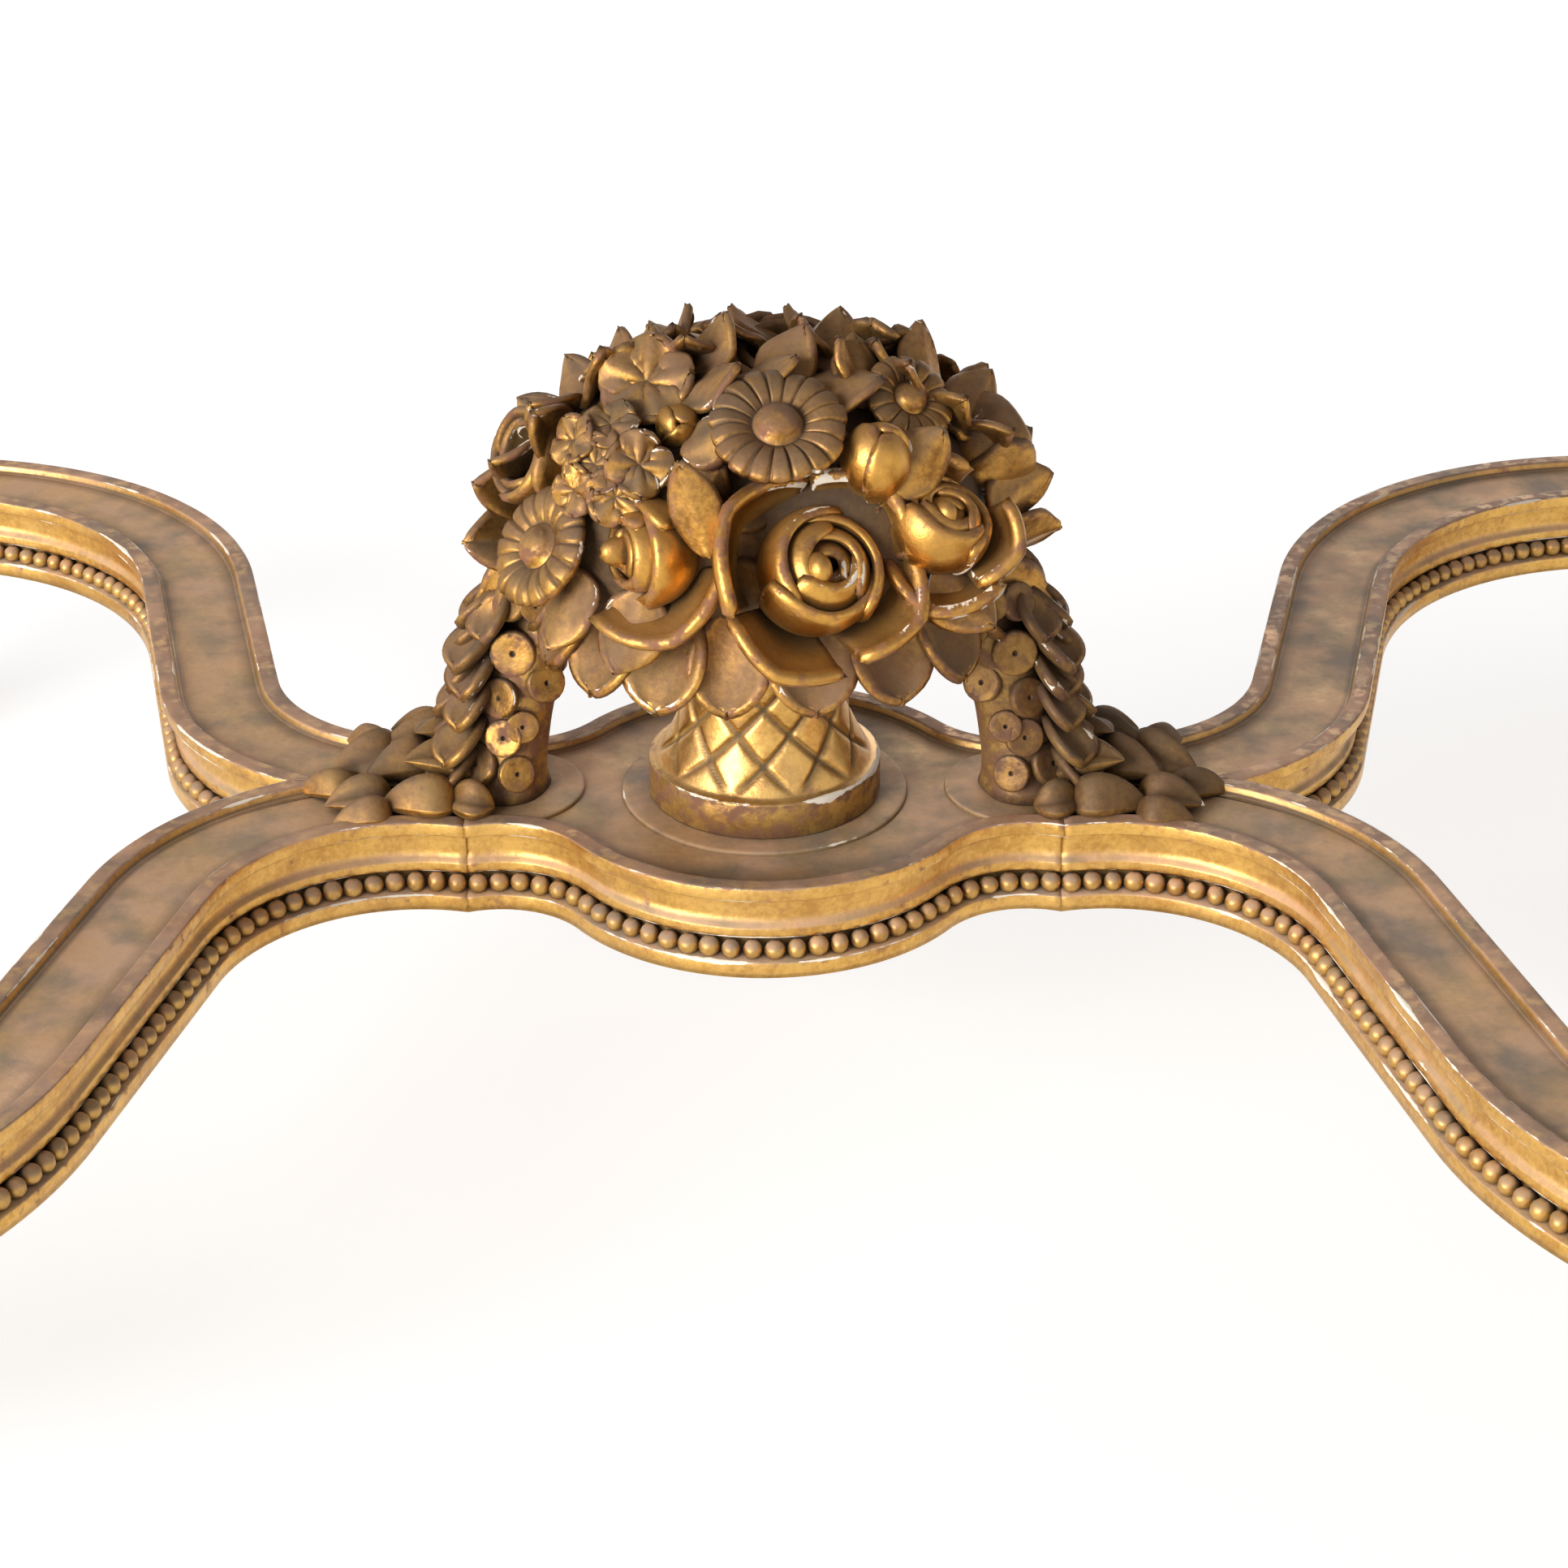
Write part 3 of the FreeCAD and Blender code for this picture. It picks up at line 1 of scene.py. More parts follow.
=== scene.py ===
import json
from collections import namedtuple
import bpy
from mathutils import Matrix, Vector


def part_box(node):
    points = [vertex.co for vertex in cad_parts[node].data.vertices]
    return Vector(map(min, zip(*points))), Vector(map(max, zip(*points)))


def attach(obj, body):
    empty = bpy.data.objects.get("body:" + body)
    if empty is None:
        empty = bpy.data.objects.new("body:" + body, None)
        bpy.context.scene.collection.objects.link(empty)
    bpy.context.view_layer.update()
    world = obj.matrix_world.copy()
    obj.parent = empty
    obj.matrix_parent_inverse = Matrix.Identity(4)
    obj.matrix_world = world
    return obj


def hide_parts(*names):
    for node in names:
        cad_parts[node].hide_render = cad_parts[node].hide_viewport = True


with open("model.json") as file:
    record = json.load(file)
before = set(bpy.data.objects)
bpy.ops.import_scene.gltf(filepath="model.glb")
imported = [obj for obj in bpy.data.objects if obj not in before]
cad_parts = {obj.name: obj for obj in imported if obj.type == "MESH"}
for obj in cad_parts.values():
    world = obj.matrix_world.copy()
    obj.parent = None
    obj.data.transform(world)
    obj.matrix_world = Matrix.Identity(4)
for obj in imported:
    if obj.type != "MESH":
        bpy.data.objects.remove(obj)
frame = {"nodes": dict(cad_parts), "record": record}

from types import SimpleNamespace

import bpy
import numpy as np
from bpy.props import FloatProperty, FloatVectorProperty, IntProperty, PointerProperty
from mathutils import Matrix

bl_info = {
    "name": "Gilded centre table",
    "version": (1, 0, 0),
    "blender": (4, 5, 0),
    "location": "View3D > Sidebar > Centre table",
    "description": "Carves the gilded stretcher and flower basket of a centre table and finishes its frame",
    "category": "Object",
}

MM = 0.001
FULL_TURN = 2 * np.pi
# Lengths below these count as nothing in a comparison and in a division
NEAR_ZERO, SMALLEST = 1e-6, 1e-12
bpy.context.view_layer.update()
BLOCK_LOW, BLOCK_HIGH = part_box("stretcher_block")
VASE_LOW, VASE_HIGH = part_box("vase")
# The block ends at the joints with the arms, and its lobes reach as far as its box
JOINT_X = BLOCK_HIGH.x
STRETCHER_TOP = BLOCK_HIGH.z
STRETCHER_FOOT = BLOCK_LOW.z
QUARTERS = {"front_left": (-1, -1), "front_right": (1, -1), "rear_left": (-1, 1), "rear_right": (1, 1)}

# Points along an arm's first bend, straight run, second bend and stub, and along the block's lobe and notch
BEND_POINTS, RUN_POINTS, LEG_POINTS, STUB_POINTS = 34, 10, 44, 4
LOBE_POINTS, NOTCH_POINTS = 34, 18
# Lines between the rims on the block's panel and on its underside, and points round a raised round
PANEL_LINES, PAD_SIDES = 8, 96
# Levels of points on a bead and on a rose's heart, and points round them
BEAD_LEVELS, BEAD_SIDES = 6, 10
HEART_LEVELS, HEART_SIDES = 9, 20
# Points along and across a rose petal and a bud petal, and along a leaf
PETAL_ROWS, PETAL_COLS = 14, 17
BUD_ROWS, BUD_COLS = 12, 11
LEAF_ROWS = 14
# Rows of points on a daisy's boss and on its petals, and points round one petal
BOSS_ROWS, DAISY_ROWS, DAISY_CELLS = 8, 14, 9
# Points round an open flower's throat and round a flat scale
THROAT_SIDES, COIN_SIDES = 16, 18
# Rows of points along a garland's stem and along a leaf of a spray, and points round them
STEM_ROWS, STEM_SIDES = 26, 40
SPRAY_ROWS, SPRAY_SIDES = 20, 32
# Distance from an edge over which a carved sheet is worn, how much it is rubbed there, and marks of its rim
WORN_EDGE, EDGE_RUB, RIM_MARKS = 1.6 * MM, 0.18, (0.7, 0.0, 0.25)
# Starts of the random draws for the beads, the leaves and the scales
BEAD_SEED, LEAF_SEED, SCALE_SEED = 11, 21, 31

# Marks at each point: wear on sharp edges, grime and painted shade in hollows and underneath, and rub where
# the leaf is rubbed through
MARKS = ("wear", "grime", "rub")
WEAR, GRIME_AND_SHADE, RUB = range(len(MARKS))
# Points, faces in blocks of equal corner count, and the marks at the points
Surface = namedtuple("Surface", "points faces marks")


def linear(code):
    """Linear red, green and blue of an sRGB hex colour, by the curve of the sRGB standard."""
    values = np.array([int(code[i:i + 2], 16) for i in (1, 3, 5)]) / 255
    curve = np.where(values <= 0.04045, values / 12.92, ((values + 0.055) / 1.055) ** 2.4)
    return tuple(float(value) for value in curve)


def size(name, description, millimetres):
    """Length property with its default in millimetres."""
    return FloatProperty(name=name, description=description, default=millimetres * MM, unit="LENGTH",
                         precision=5)


def power(name, description, watts):
    """Lamp power property with its default in watts."""
    return FloatProperty(name=name, description=description, default=watts, unit="POWER")


def colour(name, description, code):
    """Colour property with its default as an sRGB hex value."""
    return FloatVectorProperty(name=name, description=description, default=linear(code), subtype="COLOR",
                               size=3, min=0.0, max=1.0)


class StretcherSizes(bpy.types.PropertyGroup):
    """Plan, edge moulding and bead rows of the stretcher."""
    notch: size("Notch radius", "Radius of the hollow between a lobe and an arm", 42)
    waist_half: size("Waist half width", "From the middle line to the edge at the waist", 39.5)
    waist_step: size("Waist step", "From the middle of a notch to the middle of the waist bend", 34.4)
    waist_bend: size("Waist bend", "Radius of an arm's first bend on its outer edge", 80)
    leg_bend: size("Leg bend", "Radius of an arm's second bend on its outer edge", 201)
    heading: FloatProperty(name="Heading", description="Way of an arm's straight run from the table's length",
                           default=np.radians(76.5), subtype="ANGLE")
    run: size("Run", "Straight length between the two bends of an arm", 123.5)
    arm_width: size("Arm width", "Width of an arm", 54)
    stub: size("Stub", "Straight end of an arm at the leg", 22)
    rim: size("Rim", "Width of the raised rim along the top edges", 8)
    panel: size("Panel depth", "Depth of the sunk panel below the rim", 4)
    bead: size("Bead radius", "Radius of a bead", 4.4)
    pitch: size("Bead pitch", "From bead to bead", 9.0)
    bead_inset: size("Bead inset", "From the edge in to the middle of the beads", 4.2)
    bead_drop: size("Bead drop", "From the top down to the middle of the beads", 30.6)
    vase_pad: size("Basket pad", "Radius of the raised round under the basket", 62)
    garland_pad: size("Garland pad", "Radius of the raised round under a garland", 35)
    pad_height: size("Pad height", "Height of the raised rounds", 1.5)


class BasketSizes(bpy.types.PropertyGroup):
    """Basket foot, garlands and leaf sprays."""
    base: size("Base radius", "Radius of the basket's foot", 50)
    base_height: size("Base height", "Height of the upright edge of the foot", 16.5)
    neck: size("Neck radius", "Radius of the basket's neck", 34)
    neck_rise: size("Neck rise", "Height of the neck above the stretcher", 56)
    top: size("Top radius", "Radius of the basket under the flowers", 40)
    diamonds: IntProperty(name="Diamonds", description="Diamonds of the lattice round the neck", default=10)
    diamond: size("Diamond height", "Height of one diamond of the lattice", 24)
    garland_foot: size("Garland foot", "From the middle to a garland's foot", 113)
    garland_top: size("Garland top", "From the middle to a garland's upper end", 95)
    garland_rise: size("Garland rise", "Height of a garland above the stretcher", 96)
    foot_radius: size("Garland foot radius", "Radius of a garland's stem at its foot", 17)
    top_radius: size("Garland top radius", "Radius of a garland's stem at its upper end", 14)
    scale_thick: size("Scale thickness", "Thickness of a scale", 4.2)


class FlowerSizes(bpy.types.PropertyGroup):
    """Heap of flowers above the basket."""
    rise: size("Heap rise", "Height of the heap's middle above the stretcher", 122)
    half_width: size("Half width", "Half of the heap's width", 104)
    half_depth: size("Half depth", "Half of the heap's depth", 84)
    half_height: size("Half height", "Half of the heap's height", 76)
    petal: size("Petal thickness", "Thickness of a carved petal", 4.2)
    leaf: size("Leaf thickness", "Thickness of a carved leaf", 3.8)


class Finishes(bpy.types.PropertyGroup):
    """Colours of the finishes."""
    gold: colour("Gold", "Burnished leaf", "#E6B561")
    old_gold: colour("Old gold", "Leaf dulled by age", "#BC8B43")
    flower_gold: colour("Flower gold", "Leaf on the flowers, toned darker", "#D6A04C")
    old_flower_gold: colour("Old flower gold", "Dulled leaf on the flowers", "#8C602B")
    frame_gold: colour("Frame gold", "Dulled leaf on the legs and the apron", "#A2733A")
    bole: colour("Bole", "Red clay under the leaf", "#7D4A36")
    gesso: colour("Gesso", "White ground where the edges are chipped", "#E9DECD")
    dust: colour("Dust", "Settled dust on the stretcher", "#C4A083")
    stale_dust: colour("Stale dust", "Greyer dust on the stretcher", "#84776A")
    flower_dust: colour("Flower dust", "Settled dust on the flowers", "#806248")
    stale_flower_dust: colour("Stale flower dust", "Greyer dust on the flowers", "#56493C")
    # Grime colour, also used for painted shade in hollows, under things and deep in the heap
    grime: colour("Grime", "Dirt in the hollows", "#2C2016")
    marble: colour("Marble", "Ground of the marble", "#E4E0D8")
    vein: colour("Vein", "Veins of the marble", "#8E8B86")
    oak: colour("Oak", "Old unfinished oak", "#8A6238")
    steel: colour("Steel", "Dull steel of the screws", "#8C8883")


class StageSettings(bpy.types.PropertyGroup):
    """Camera, lamps and floor."""
    camera_place: FloatVectorProperty(name="Camera", description="Place of the camera", subtype="TRANSLATION",
                                      default=(0.0074, -1.244, 0.820))
    camera_turn: FloatVectorProperty(name="Camera turn", description="Turn of the camera", subtype="EULER",
                                     default=(1.0879, 0.0009, -0.0013))
    lens: FloatProperty(name="Lens", description="Focal length in millimetres on a 36 mm wide sensor",
                        default=74.29)
    key: power("Key lamp", "Power of the large lamp at the front left", 118.0)
    fill: power("Fill lamp", "Power of the lamp at the front right", 4.0)
    back: power("Back lamp", "Power of the lamp behind the table", 30.0)
    top: power("Top lamp", "Power of the lamp above the marble top", 11.0)
    ambient: FloatProperty(name="Room light", description="Strength of the even light from all sides",
                           default=0.32)
    floor: size("Floor", "Half of the floor's width", 9000)


def unit(vectors):
    """Vectors along the last axis, each scaled to length one."""
    vectors = np.asarray(vectors, float)
    return vectors / np.maximum(np.linalg.norm(vectors, axis=-1, keepdims=True), SMALLEST)


def ease(values):
    """Rise from 0 to 1 that starts and ends level, held beyond both ends."""
    values = np.clip(values, 0, 1)
    return values * values * (3 - 2 * values)


def circle(count):
    """Angles spaced evenly round a full turn."""
    return np.linspace(0, FULL_TURN, count + 1)[:-1]


def turned(reach, height, around):
    """Points at a reach from the third axis, a height along it and angles around it."""
    return np.stack(np.broadcast_arrays(reach * np.cos(around), reach * np.sin(around), height), -1)


def ball(levels, sides):
    """Rings of points on a ball of radius one, between its poles."""
    tilt = np.linspace(-0.5, 0.5, levels + 2)[1:-1, None] * np.pi
    return turned(np.cos(tilt), np.sin(tilt), circle(sides))


def axes(facing, roll=0.0):
    """Right, up and facing directions, as rows, of something that faces one way, turned about it by roll."""
    facing = unit(facing)
    side = np.cross((0, 0, 1), facing)
    right = unit(side if np.linalg.norm(side) > NEAR_ZERO else (1, 0, 0))
    up = np.cross(facing, right)
    cos, sin = np.cos(roll), np.sin(roll)
    return np.array([cos * right + sin * up, cos * up - sin * right, facing])


def quads(index):
    """Four-cornered faces of a grid of point numbers."""
    corners = index[:-1, :-1], index[:-1, 1:], index[1:, 1:], index[1:, :-1]
    return np.stack(corners, -1).reshape(-1, 4)


def outward(points, faces):
    """Faces of a closed surface turned so that its volume comes out positive."""
    volume = 0.0
    for block in faces:
        first = points[block[:, 0]]
        for i in range(1, block.shape[1] - 1):
            volume += np.sum(first * np.cross(points[block[:, i]], points[block[:, i + 1]]))
    return faces if volume > 0 else [block[:, ::-1] for block in faces]


def join(surfaces):
    """One surface from several."""
    starts = np.cumsum([0] + [len(one.points) for one in surfaces[:-1]])
    faces = [block + start for one, start in zip(surfaces, starts) for block in one.faces]
    return Surface(np.concatenate([one.points for one in surfaces]), faces,
                   np.concatenate([one.marks for one in surfaces]))


def placed(surface, origin, directions):
    """Surface moved from its own axes to a place on the table, where they become the directions in rows."""
    return surface._replace(points=surface.points @ np.asarray(directions) + np.asarray(origin, float))


def half_turn(surface):
    """Surface turned by half a turn about the table's upright axis."""
    return surface._replace(points=surface.points * (-1, -1, 1))


def mirrored(surface, sx, sy):
    """Surface mirrored in x or y, with its faces turned to stay outward."""
    points = surface.points * (sx, sy, 1)
    return surface._replace(points=points, faces=outward(points, surface.faces))


def shaded_and_soiled(surface, amount):
    """Surface with at least an amount of grime and painted shade, given once for all or at each point."""
    marks = surface.marks.copy()
    marks[:, GRIME_AND_SHADE] = np.maximum(marks[:, GRIME_AND_SHADE], amount)
    return surface._replace(marks=marks)


def rings(rows, marks):
    """Closed surface over rows of ring points. A middle point closes each end."""
    count, around = rows.shape[:2]
    index = np.arange(count * around).reshape(count, around)
    index = np.concatenate((index, index[:, :1]), 1)
    foot, top = count * around, count * around + 1
    points = np.concatenate((rows.reshape(-1, 3), [rows[0].mean(0)], [rows[-1].mean(0)]))
    fans = [np.stack((np.full(around, foot), index[0, 1:], index[0, :-1]), -1),
            np.stack((np.full(around, top), index[-1, :-1], index[-1, 1:]), -1)]
    faces = outward(points, [quads(index), np.concatenate(fans)])
    marks = np.broadcast_to(marks, (count, around, 3))
    ends = np.stack((marks[0].mean(0), marks[-1].mean(0)))
    return Surface(points, faces, np.concatenate((marks.reshape(-1, 3), ends)))


def shell(sheet, thickness, grime=0.0, inner_painted_shade=0.0):
    """Closed shell about a sheet of points.

    The sheet moves out and in along its normals by half the thickness, and a rounded rim joins the two along
    the border. Wear falls off with the distance from the far end and from the sides. The outer face takes the
    given grime and painted shade, and the inner face the given painted shade.
    """
    rows, cols = sheet.shape[:2]
    along, across = np.gradient(sheet, axis=0), np.gradient(sheet, axis=1)
    normal = unit(np.cross(across, along))
    half = np.broadcast_to(np.asarray(thickness, float) / 2, (rows, cols))[..., None]
    rim, swell, along, across = [np.pad(grid, ((1, 1), (1, 1), (0, 0)), mode="edge")
                                 for grid in (sheet, half, along, across)]
    along, across = unit(along), unit(across)
    rim[0] -= along[0] * swell[0]
    rim[-1] += along[-1] * swell[-1]
    rim[:, 0] -= across[:, 0] * swell[:, 0]
    rim[:, -1] += across[:, -1] * swell[:, -1]
    border = np.ones((rows + 2, cols + 2), bool)
    border[1:-1, 1:-1] = False
    count = rows * cols
    index = np.zeros((rows + 2, cols + 2), int)
    index[border] = 2 * count + np.arange(border.sum())
    front, back = index.copy(), index.copy()
    front[1:-1, 1:-1] = np.arange(count).reshape(rows, cols)
    back[1:-1, 1:-1] = front[1:-1, 1:-1] + count
    outer, inner = (sheet + normal * half).reshape(-1, 3), (sheet - normal * half).reshape(-1, 3)
    points = np.concatenate((outer, inner, rim[border]))
    step = np.linalg.norm(np.diff(sheet, axis=0), axis=-1)
    to_end = np.concatenate((np.cumsum(step[::-1], 0)[::-1], np.zeros((1, cols))))
    step = np.linalg.norm(np.diff(sheet, axis=1), axis=-1)
    from_left = np.concatenate((np.zeros((rows, 1)), np.cumsum(step, 1)), 1)
    to_side = np.minimum(from_left, from_left[:, -1:] - from_left)
    near = np.exp(-(np.minimum(to_end, to_side) / WORN_EDGE) ** 2)
    # Wear at the edges, grime and painted shade on the outer face, painted shade on the inner face
    marks = [np.stack(np.broadcast_arrays(near, darkening, EDGE_RUB * near), -1).reshape(-1, 3)
             for darkening in (grime, inner_painted_shade)]
    marks.append(np.broadcast_to(RIM_MARKS, (border.sum(), 3)))
    faces = outward(points, [np.concatenate((quads(front), quads(back)[:, ::-1]))])
    return Surface(points, faces, np.concatenate(marks))


def piece(name, surface, node, finish="water_gilding"):
    """Gilded object at the origin from a surface, riding on the table and standing for a CAD node."""
    mesh = bpy.data.meshes.new(name)
    faces = [row for block in surface.faces for row in block.tolist()]
    mesh.from_pydata(surface.points.tolist(), [], faces)
    for label, values in zip(MARKS, surface.marks.T):
        layer = mesh.attributes.new(label, "FLOAT", "POINT")
        layer.data.foreach_set("value", np.ascontiguousarray(values, np.float32))
    mesh.shade_smooth()
    mesh.materials.append(material(finish))
    thing = bpy.data.objects.new(name, mesh)
    bpy.context.scene.collection.objects.link(thing)
    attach(thing, "root")
    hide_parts(node)


def plan(sizes):
    """Circles, angles and places of the stretcher's quarter with x and y both positive."""
    lobe = BLOCK_HIGH.y
    notch_y = sizes.waist_half + sizes.notch
    notch_x = np.sqrt((lobe + sizes.notch) ** 2 - notch_y ** 2)
    half = sizes.arm_width / 2
    way = np.array((np.cos(sizes.heading), np.sin(sizes.heading)))
    side = np.array((way[1], -way[0]))
    waist = np.array((notch_x + sizes.waist_step, sizes.waist_half + sizes.waist_bend))
    radii = sizes.waist_bend + half, sizes.leg_bend - half
    leg = waist + way * sizes.run + side * sum(radii)
    return SimpleNamespace(lobe=lobe, notch=np.array((notch_x, notch_y)), notch_radius=sizes.notch,
                           half=half, heading=sizes.heading, stub=sizes.stub, waist=waist, leg=leg,
                           waist_radius=radii[0], leg_radius=radii[1])


def on_circle(centre, radius, angle):
    """Plan points at angles on circles about a centre."""
    return centre + np.asarray(radius)[..., None] * np.stack((np.cos(angle), np.sin(angle)), -1)


def arm_lines(shape, offsets):
    """Plan points of lines along an arm at offsets from its middle, positive to the inside of the table.

    A line starts on the joint with the block, or on the table's middle line where it would cross that. It
    follows the waist bend, runs straight, follows the bend at the leg and ends with the stub.
    """
    offsets = np.asarray(offsets, float)
    radius = shape.waist_radius + offsets
    at_joint = -np.pi / 2 - np.arcsin((shape.waist[0] - JOINT_X) / radius)
    at_middle = -np.arcsin(np.minimum(shape.waist[1] / radius, 1))
    crosses = shape.waist[1] + radius * np.sin(at_joint) < -NEAR_ZERO
    start = np.where(crosses, at_middle, at_joint)
    share = np.linspace(0, 1, BEND_POINTS)[:, None]
    bend = on_circle(shape.waist, radius, start + (shape.heading - np.pi / 2 - start) * share)
    bend[..., 1] = np.maximum(bend[..., 1], 0)
    sweep = np.linspace(shape.heading + np.pi / 2, np.pi / 2, LEG_POINTS)[:, None] + 0 * offsets
    leg = on_circle(shape.leg, shape.leg_radius - offsets, sweep)
    share = np.linspace(0, 1, RUN_POINTS)[1:-1, None, None]
    run = bend[-1] + (leg[0] - bend[-1]) * share
    share = np.linspace(0, 1, STUB_POINTS)[1:, None, None]
    stub = leg[-1] + np.array((shape.stub, 0)) * share
    return np.concatenate((bend, run, leg, stub))


def block_lines(shape, insets):
    """Plan points of lines along the block's rear edge at insets from it, from joint to joint.

    Each side follows the lobe's circle to where it touches the notch's circle, then the notch to the joint.
    """
    insets = np.asarray(insets, float)
    touch = np.arctan2(shape.notch[1], shape.notch[0])
    angle = np.linspace(np.pi / 2, touch, LOBE_POINTS)[:, None] + 0 * insets
    lobe = on_circle(np.zeros(2), shape.lobe - insets, angle)
    radius = shape.notch_radius + insets
    end = FULL_TURN - np.arccos((JOINT_X - shape.notch[0]) / radius)
    share = np.linspace(0, 1, NOTCH_POINTS)[1:, None]
    notch = on_circle(shape.notch, radius, np.pi + touch + (end - np.pi - touch) * share)
    right = np.concatenate((lobe, notch))
    return np.concatenate((right[:0:-1] * (-1, 1), right))


# Corners of the edge moulding from the rim's outer edge down, in millimetres: inset, depth and rounding
EDGE_CORNERS = (
    (0, 0, 0.8), (0, 6.0, 0.5), (5.4, 6.4, 1.2), (6.8, 10.5, 2.0), (7.4, 18.4, 3.0), (5.0, 21.7, 0.5),
    (5.0, 26.0, 0.7), (9.0, 26.4, 0.8), (9.0, 32.6, 1.2), (0, 34.9, 0.7), (0, 42.0, 0.7),
)
# Depths in millimetres between which the hollow behind the beads lies
BEAD_HOLLOW = 26.2, 33
# Corners with a smaller rounding than this hold dirt and painted shade, and how far beyond a rounding the
# points beside it lie, both in millimetres
TIGHT_CORNER, FLANK = 2, 2.6


def edge_profile(sizes):
    """Rounded edge moulding, from the panel over the rim and down to the foot.

    A rounded corner is a parabola between its two sides, with a point just before and after it. Corners that
    stand out are marked as wear, and corners that stand in as grime with painted shade.
    """
    rim, panel = sizes.rim / MM, sizes.panel / MM
    inside = (rim + 2.5, panel, 0), (rim + 1, 0.85 * panel, 1.0), (rim, 0, 0.7)
    mm = np.array(inside + EDGE_CORNERS)
    mm[:, 1] *= (STRETCHER_TOP - STRETCHER_FOOT) / MM / mm[-1, 1]
    corner, rounding = mm[1:-1, :2], mm[1:-1, 2]
    before, after = corner - mm[:-2, :2], mm[2:, :2] - corner
    length = np.minimum(np.linalg.norm(before, axis=1), np.linalg.norm(after, axis=1))
    before, after = unit(before), unit(after)
    radius = np.minimum(rounding, 0.4 * length)[:, None]
    flank = np.minimum(radius + FLANK, 0.49 * length[:, None])
    turn = before[:, 0] * after[:, 1] - before[:, 1] * after[:, 0]
    parts = np.stack((corner - flank * before, corner - radius * before,
                      corner + 0.25 * radius * (after - before), corner + radius * after,
                      corner + flank * after), 1)
    points = np.concatenate((mm[:1, :2], parts.reshape(-1, 2), mm[-1:, :2]))
    inset, depth = points.T
    wear = np.clip(-turn, 0, 1)[:, None] * np.array((0.0, 0.75, 1.0, 0.75, 0.0))
    tight = np.where(rounding < TIGHT_CORNER, 1.0, 0.0)
    grime = (tight * np.clip(turn, 0, 1))[:, None] * np.array((0.25, 0.8, 0.9, 0.8, 0.25))
    marks = np.zeros((len(points), 3))
    marks[1:-1, WEAR] = wear.ravel()
    marks[1:-1, GRIME_AND_SHADE] = grime.ravel()
    # Painted shade along the panel at the rim's foot and in the hollow behind the beads
    marks[0, GRIME_AND_SHADE] = 0.6
    behind_beads = (depth > BEAD_HOLLOW[0]) & (depth < BEAD_HOLLOW[1])
    marks[:, GRIME_AND_SHADE] = np.maximum(marks[:, GRIME_AND_SHADE], np.where(behind_beads, 0.4, 0))
    marks[:, RUB] = np.where((depth < 0.4) & (inset < rim + 0.2), 0.7, 0)
    return points * MM, marks


def lofted(lines, heights, marks, cuts):
    """Closed bar from lines side by side: rows of section points, with the first end's cap split by cuts."""
    rows, around = lines.shape[:2]
    points = np.concatenate((lines, np.broadcast_to(heights[None, :, None], (rows, around, 1))), 2)
    index = np.arange(rows * around).reshape(rows, around)
    looped = np.concatenate((index, index[:, :1]), 1)
    caps = [index[0][part][None] for part in cuts] + [index[-1][::-1][None]]
    points = points.reshape(-1, 3)
    faces = outward(points, [quads(looped)[:, ::-1]] + caps)
    return Surface(points, faces, np.broadcast_to(marks, (rows, around, 3)).reshape(-1, 3))


def pad(sizes, radius, x):
    """Raised round on the panel, a disc with a rounded edge."""
    level = STRETCHER_TOP - sizes.panel
    reach = np.array((1.0, 1.0, 0.988, 0.975, 0.95, 0.5, 0.03))[:, None] * radius
    height = np.array((-1.0, 0.4, 0.85, 1.0, 1.0, 1.0, 1.0))[:, None] * sizes.pad_height
    rows = turned(reach, level + height, circle(PAD_SIDES)) + (x, 0, 0)
    marks = np.zeros_like(rows)
    marks[..., WEAR] = np.array((0, 0.6, 0.9, 0.6, 0, 0, 0))[:, None]
    # Painted shade round the foot of the raised round, where it meets the panel
    marks[:2, :, GRIME_AND_SHADE] = 0.8
    return rings(rows, marks)


def carve_arm(sizes):
    """Arm of the quarter with x and y both positive: the moulded section carried along its lines.

    The line through the corner where the joint meets the table's middle line splits the panel and the
    underside, so that the cap of this end folds there.
    """
    shape = plan(sizes)
    edge, marks = edge_profile(sizes)
    corner = np.hypot(shape.waist[0] - JOINT_X, shape.waist[1]) - shape.waist_radius
    inner = shape.half - edge[0, 0]
    top = np.concatenate((np.array((-0.6, -0.1, 0.4)) * inner, [corner]))
    offsets = np.concatenate((edge[::-1, 0] - shape.half, top, shape.half - edge[:, 0], top[::-1]))
    depth = np.concatenate((edge[::-1, 1], np.full(len(top), sizes.panel), edge[:, 1],
                            np.full(len(top), edge[-1, 1])))
    flat = np.zeros((len(top), 3))
    all_marks = np.concatenate((marks[::-1], flat, marks, flat))
    first = len(edge) + len(top) - 1
    second = 2 * len(edge) + len(top)
    numbers = np.arange(len(offsets))
    at_joint = np.concatenate((numbers[second:], numbers[:first + 1]))
    at_middle = numbers[first:second + 1]
    return lofted(arm_lines(shape, offsets), STRETCHER_TOP - depth, all_marks, (at_joint, at_middle))


def carve_block(sizes):
    """Middle block: the section from the front edge over the panel to the rear edge, from joint to joint."""
    shape = plan(sizes)
    edge, marks = edge_profile(sizes)
    lines = block_lines(shape, edge[:, 0])
    shares = np.linspace(-1, 1, PANEL_LINES + 2)[1:-1]
    ones = np.ones(PANEL_LINES)
    panel = lines[:, :1] * np.stack((ones, shares), -1)
    under = lines[:, -1:] * np.stack((ones, -shares), -1)
    section = np.concatenate((lines[:, ::-1] * (1, -1), panel, lines, under), 1)
    depth = np.concatenate((edge[::-1, 1], ones * sizes.panel, edge[:, 1], ones * edge[-1, 1]))
    flat = np.zeros((PANEL_LINES, 3))
    all_marks = np.concatenate((marks[::-1], flat, marks, flat))
    body = lofted(section, STRETCHER_TOP - depth, all_marks, (np.arange(len(depth)),))
    return join([body, pad(sizes, sizes.vase_pad, 0)])


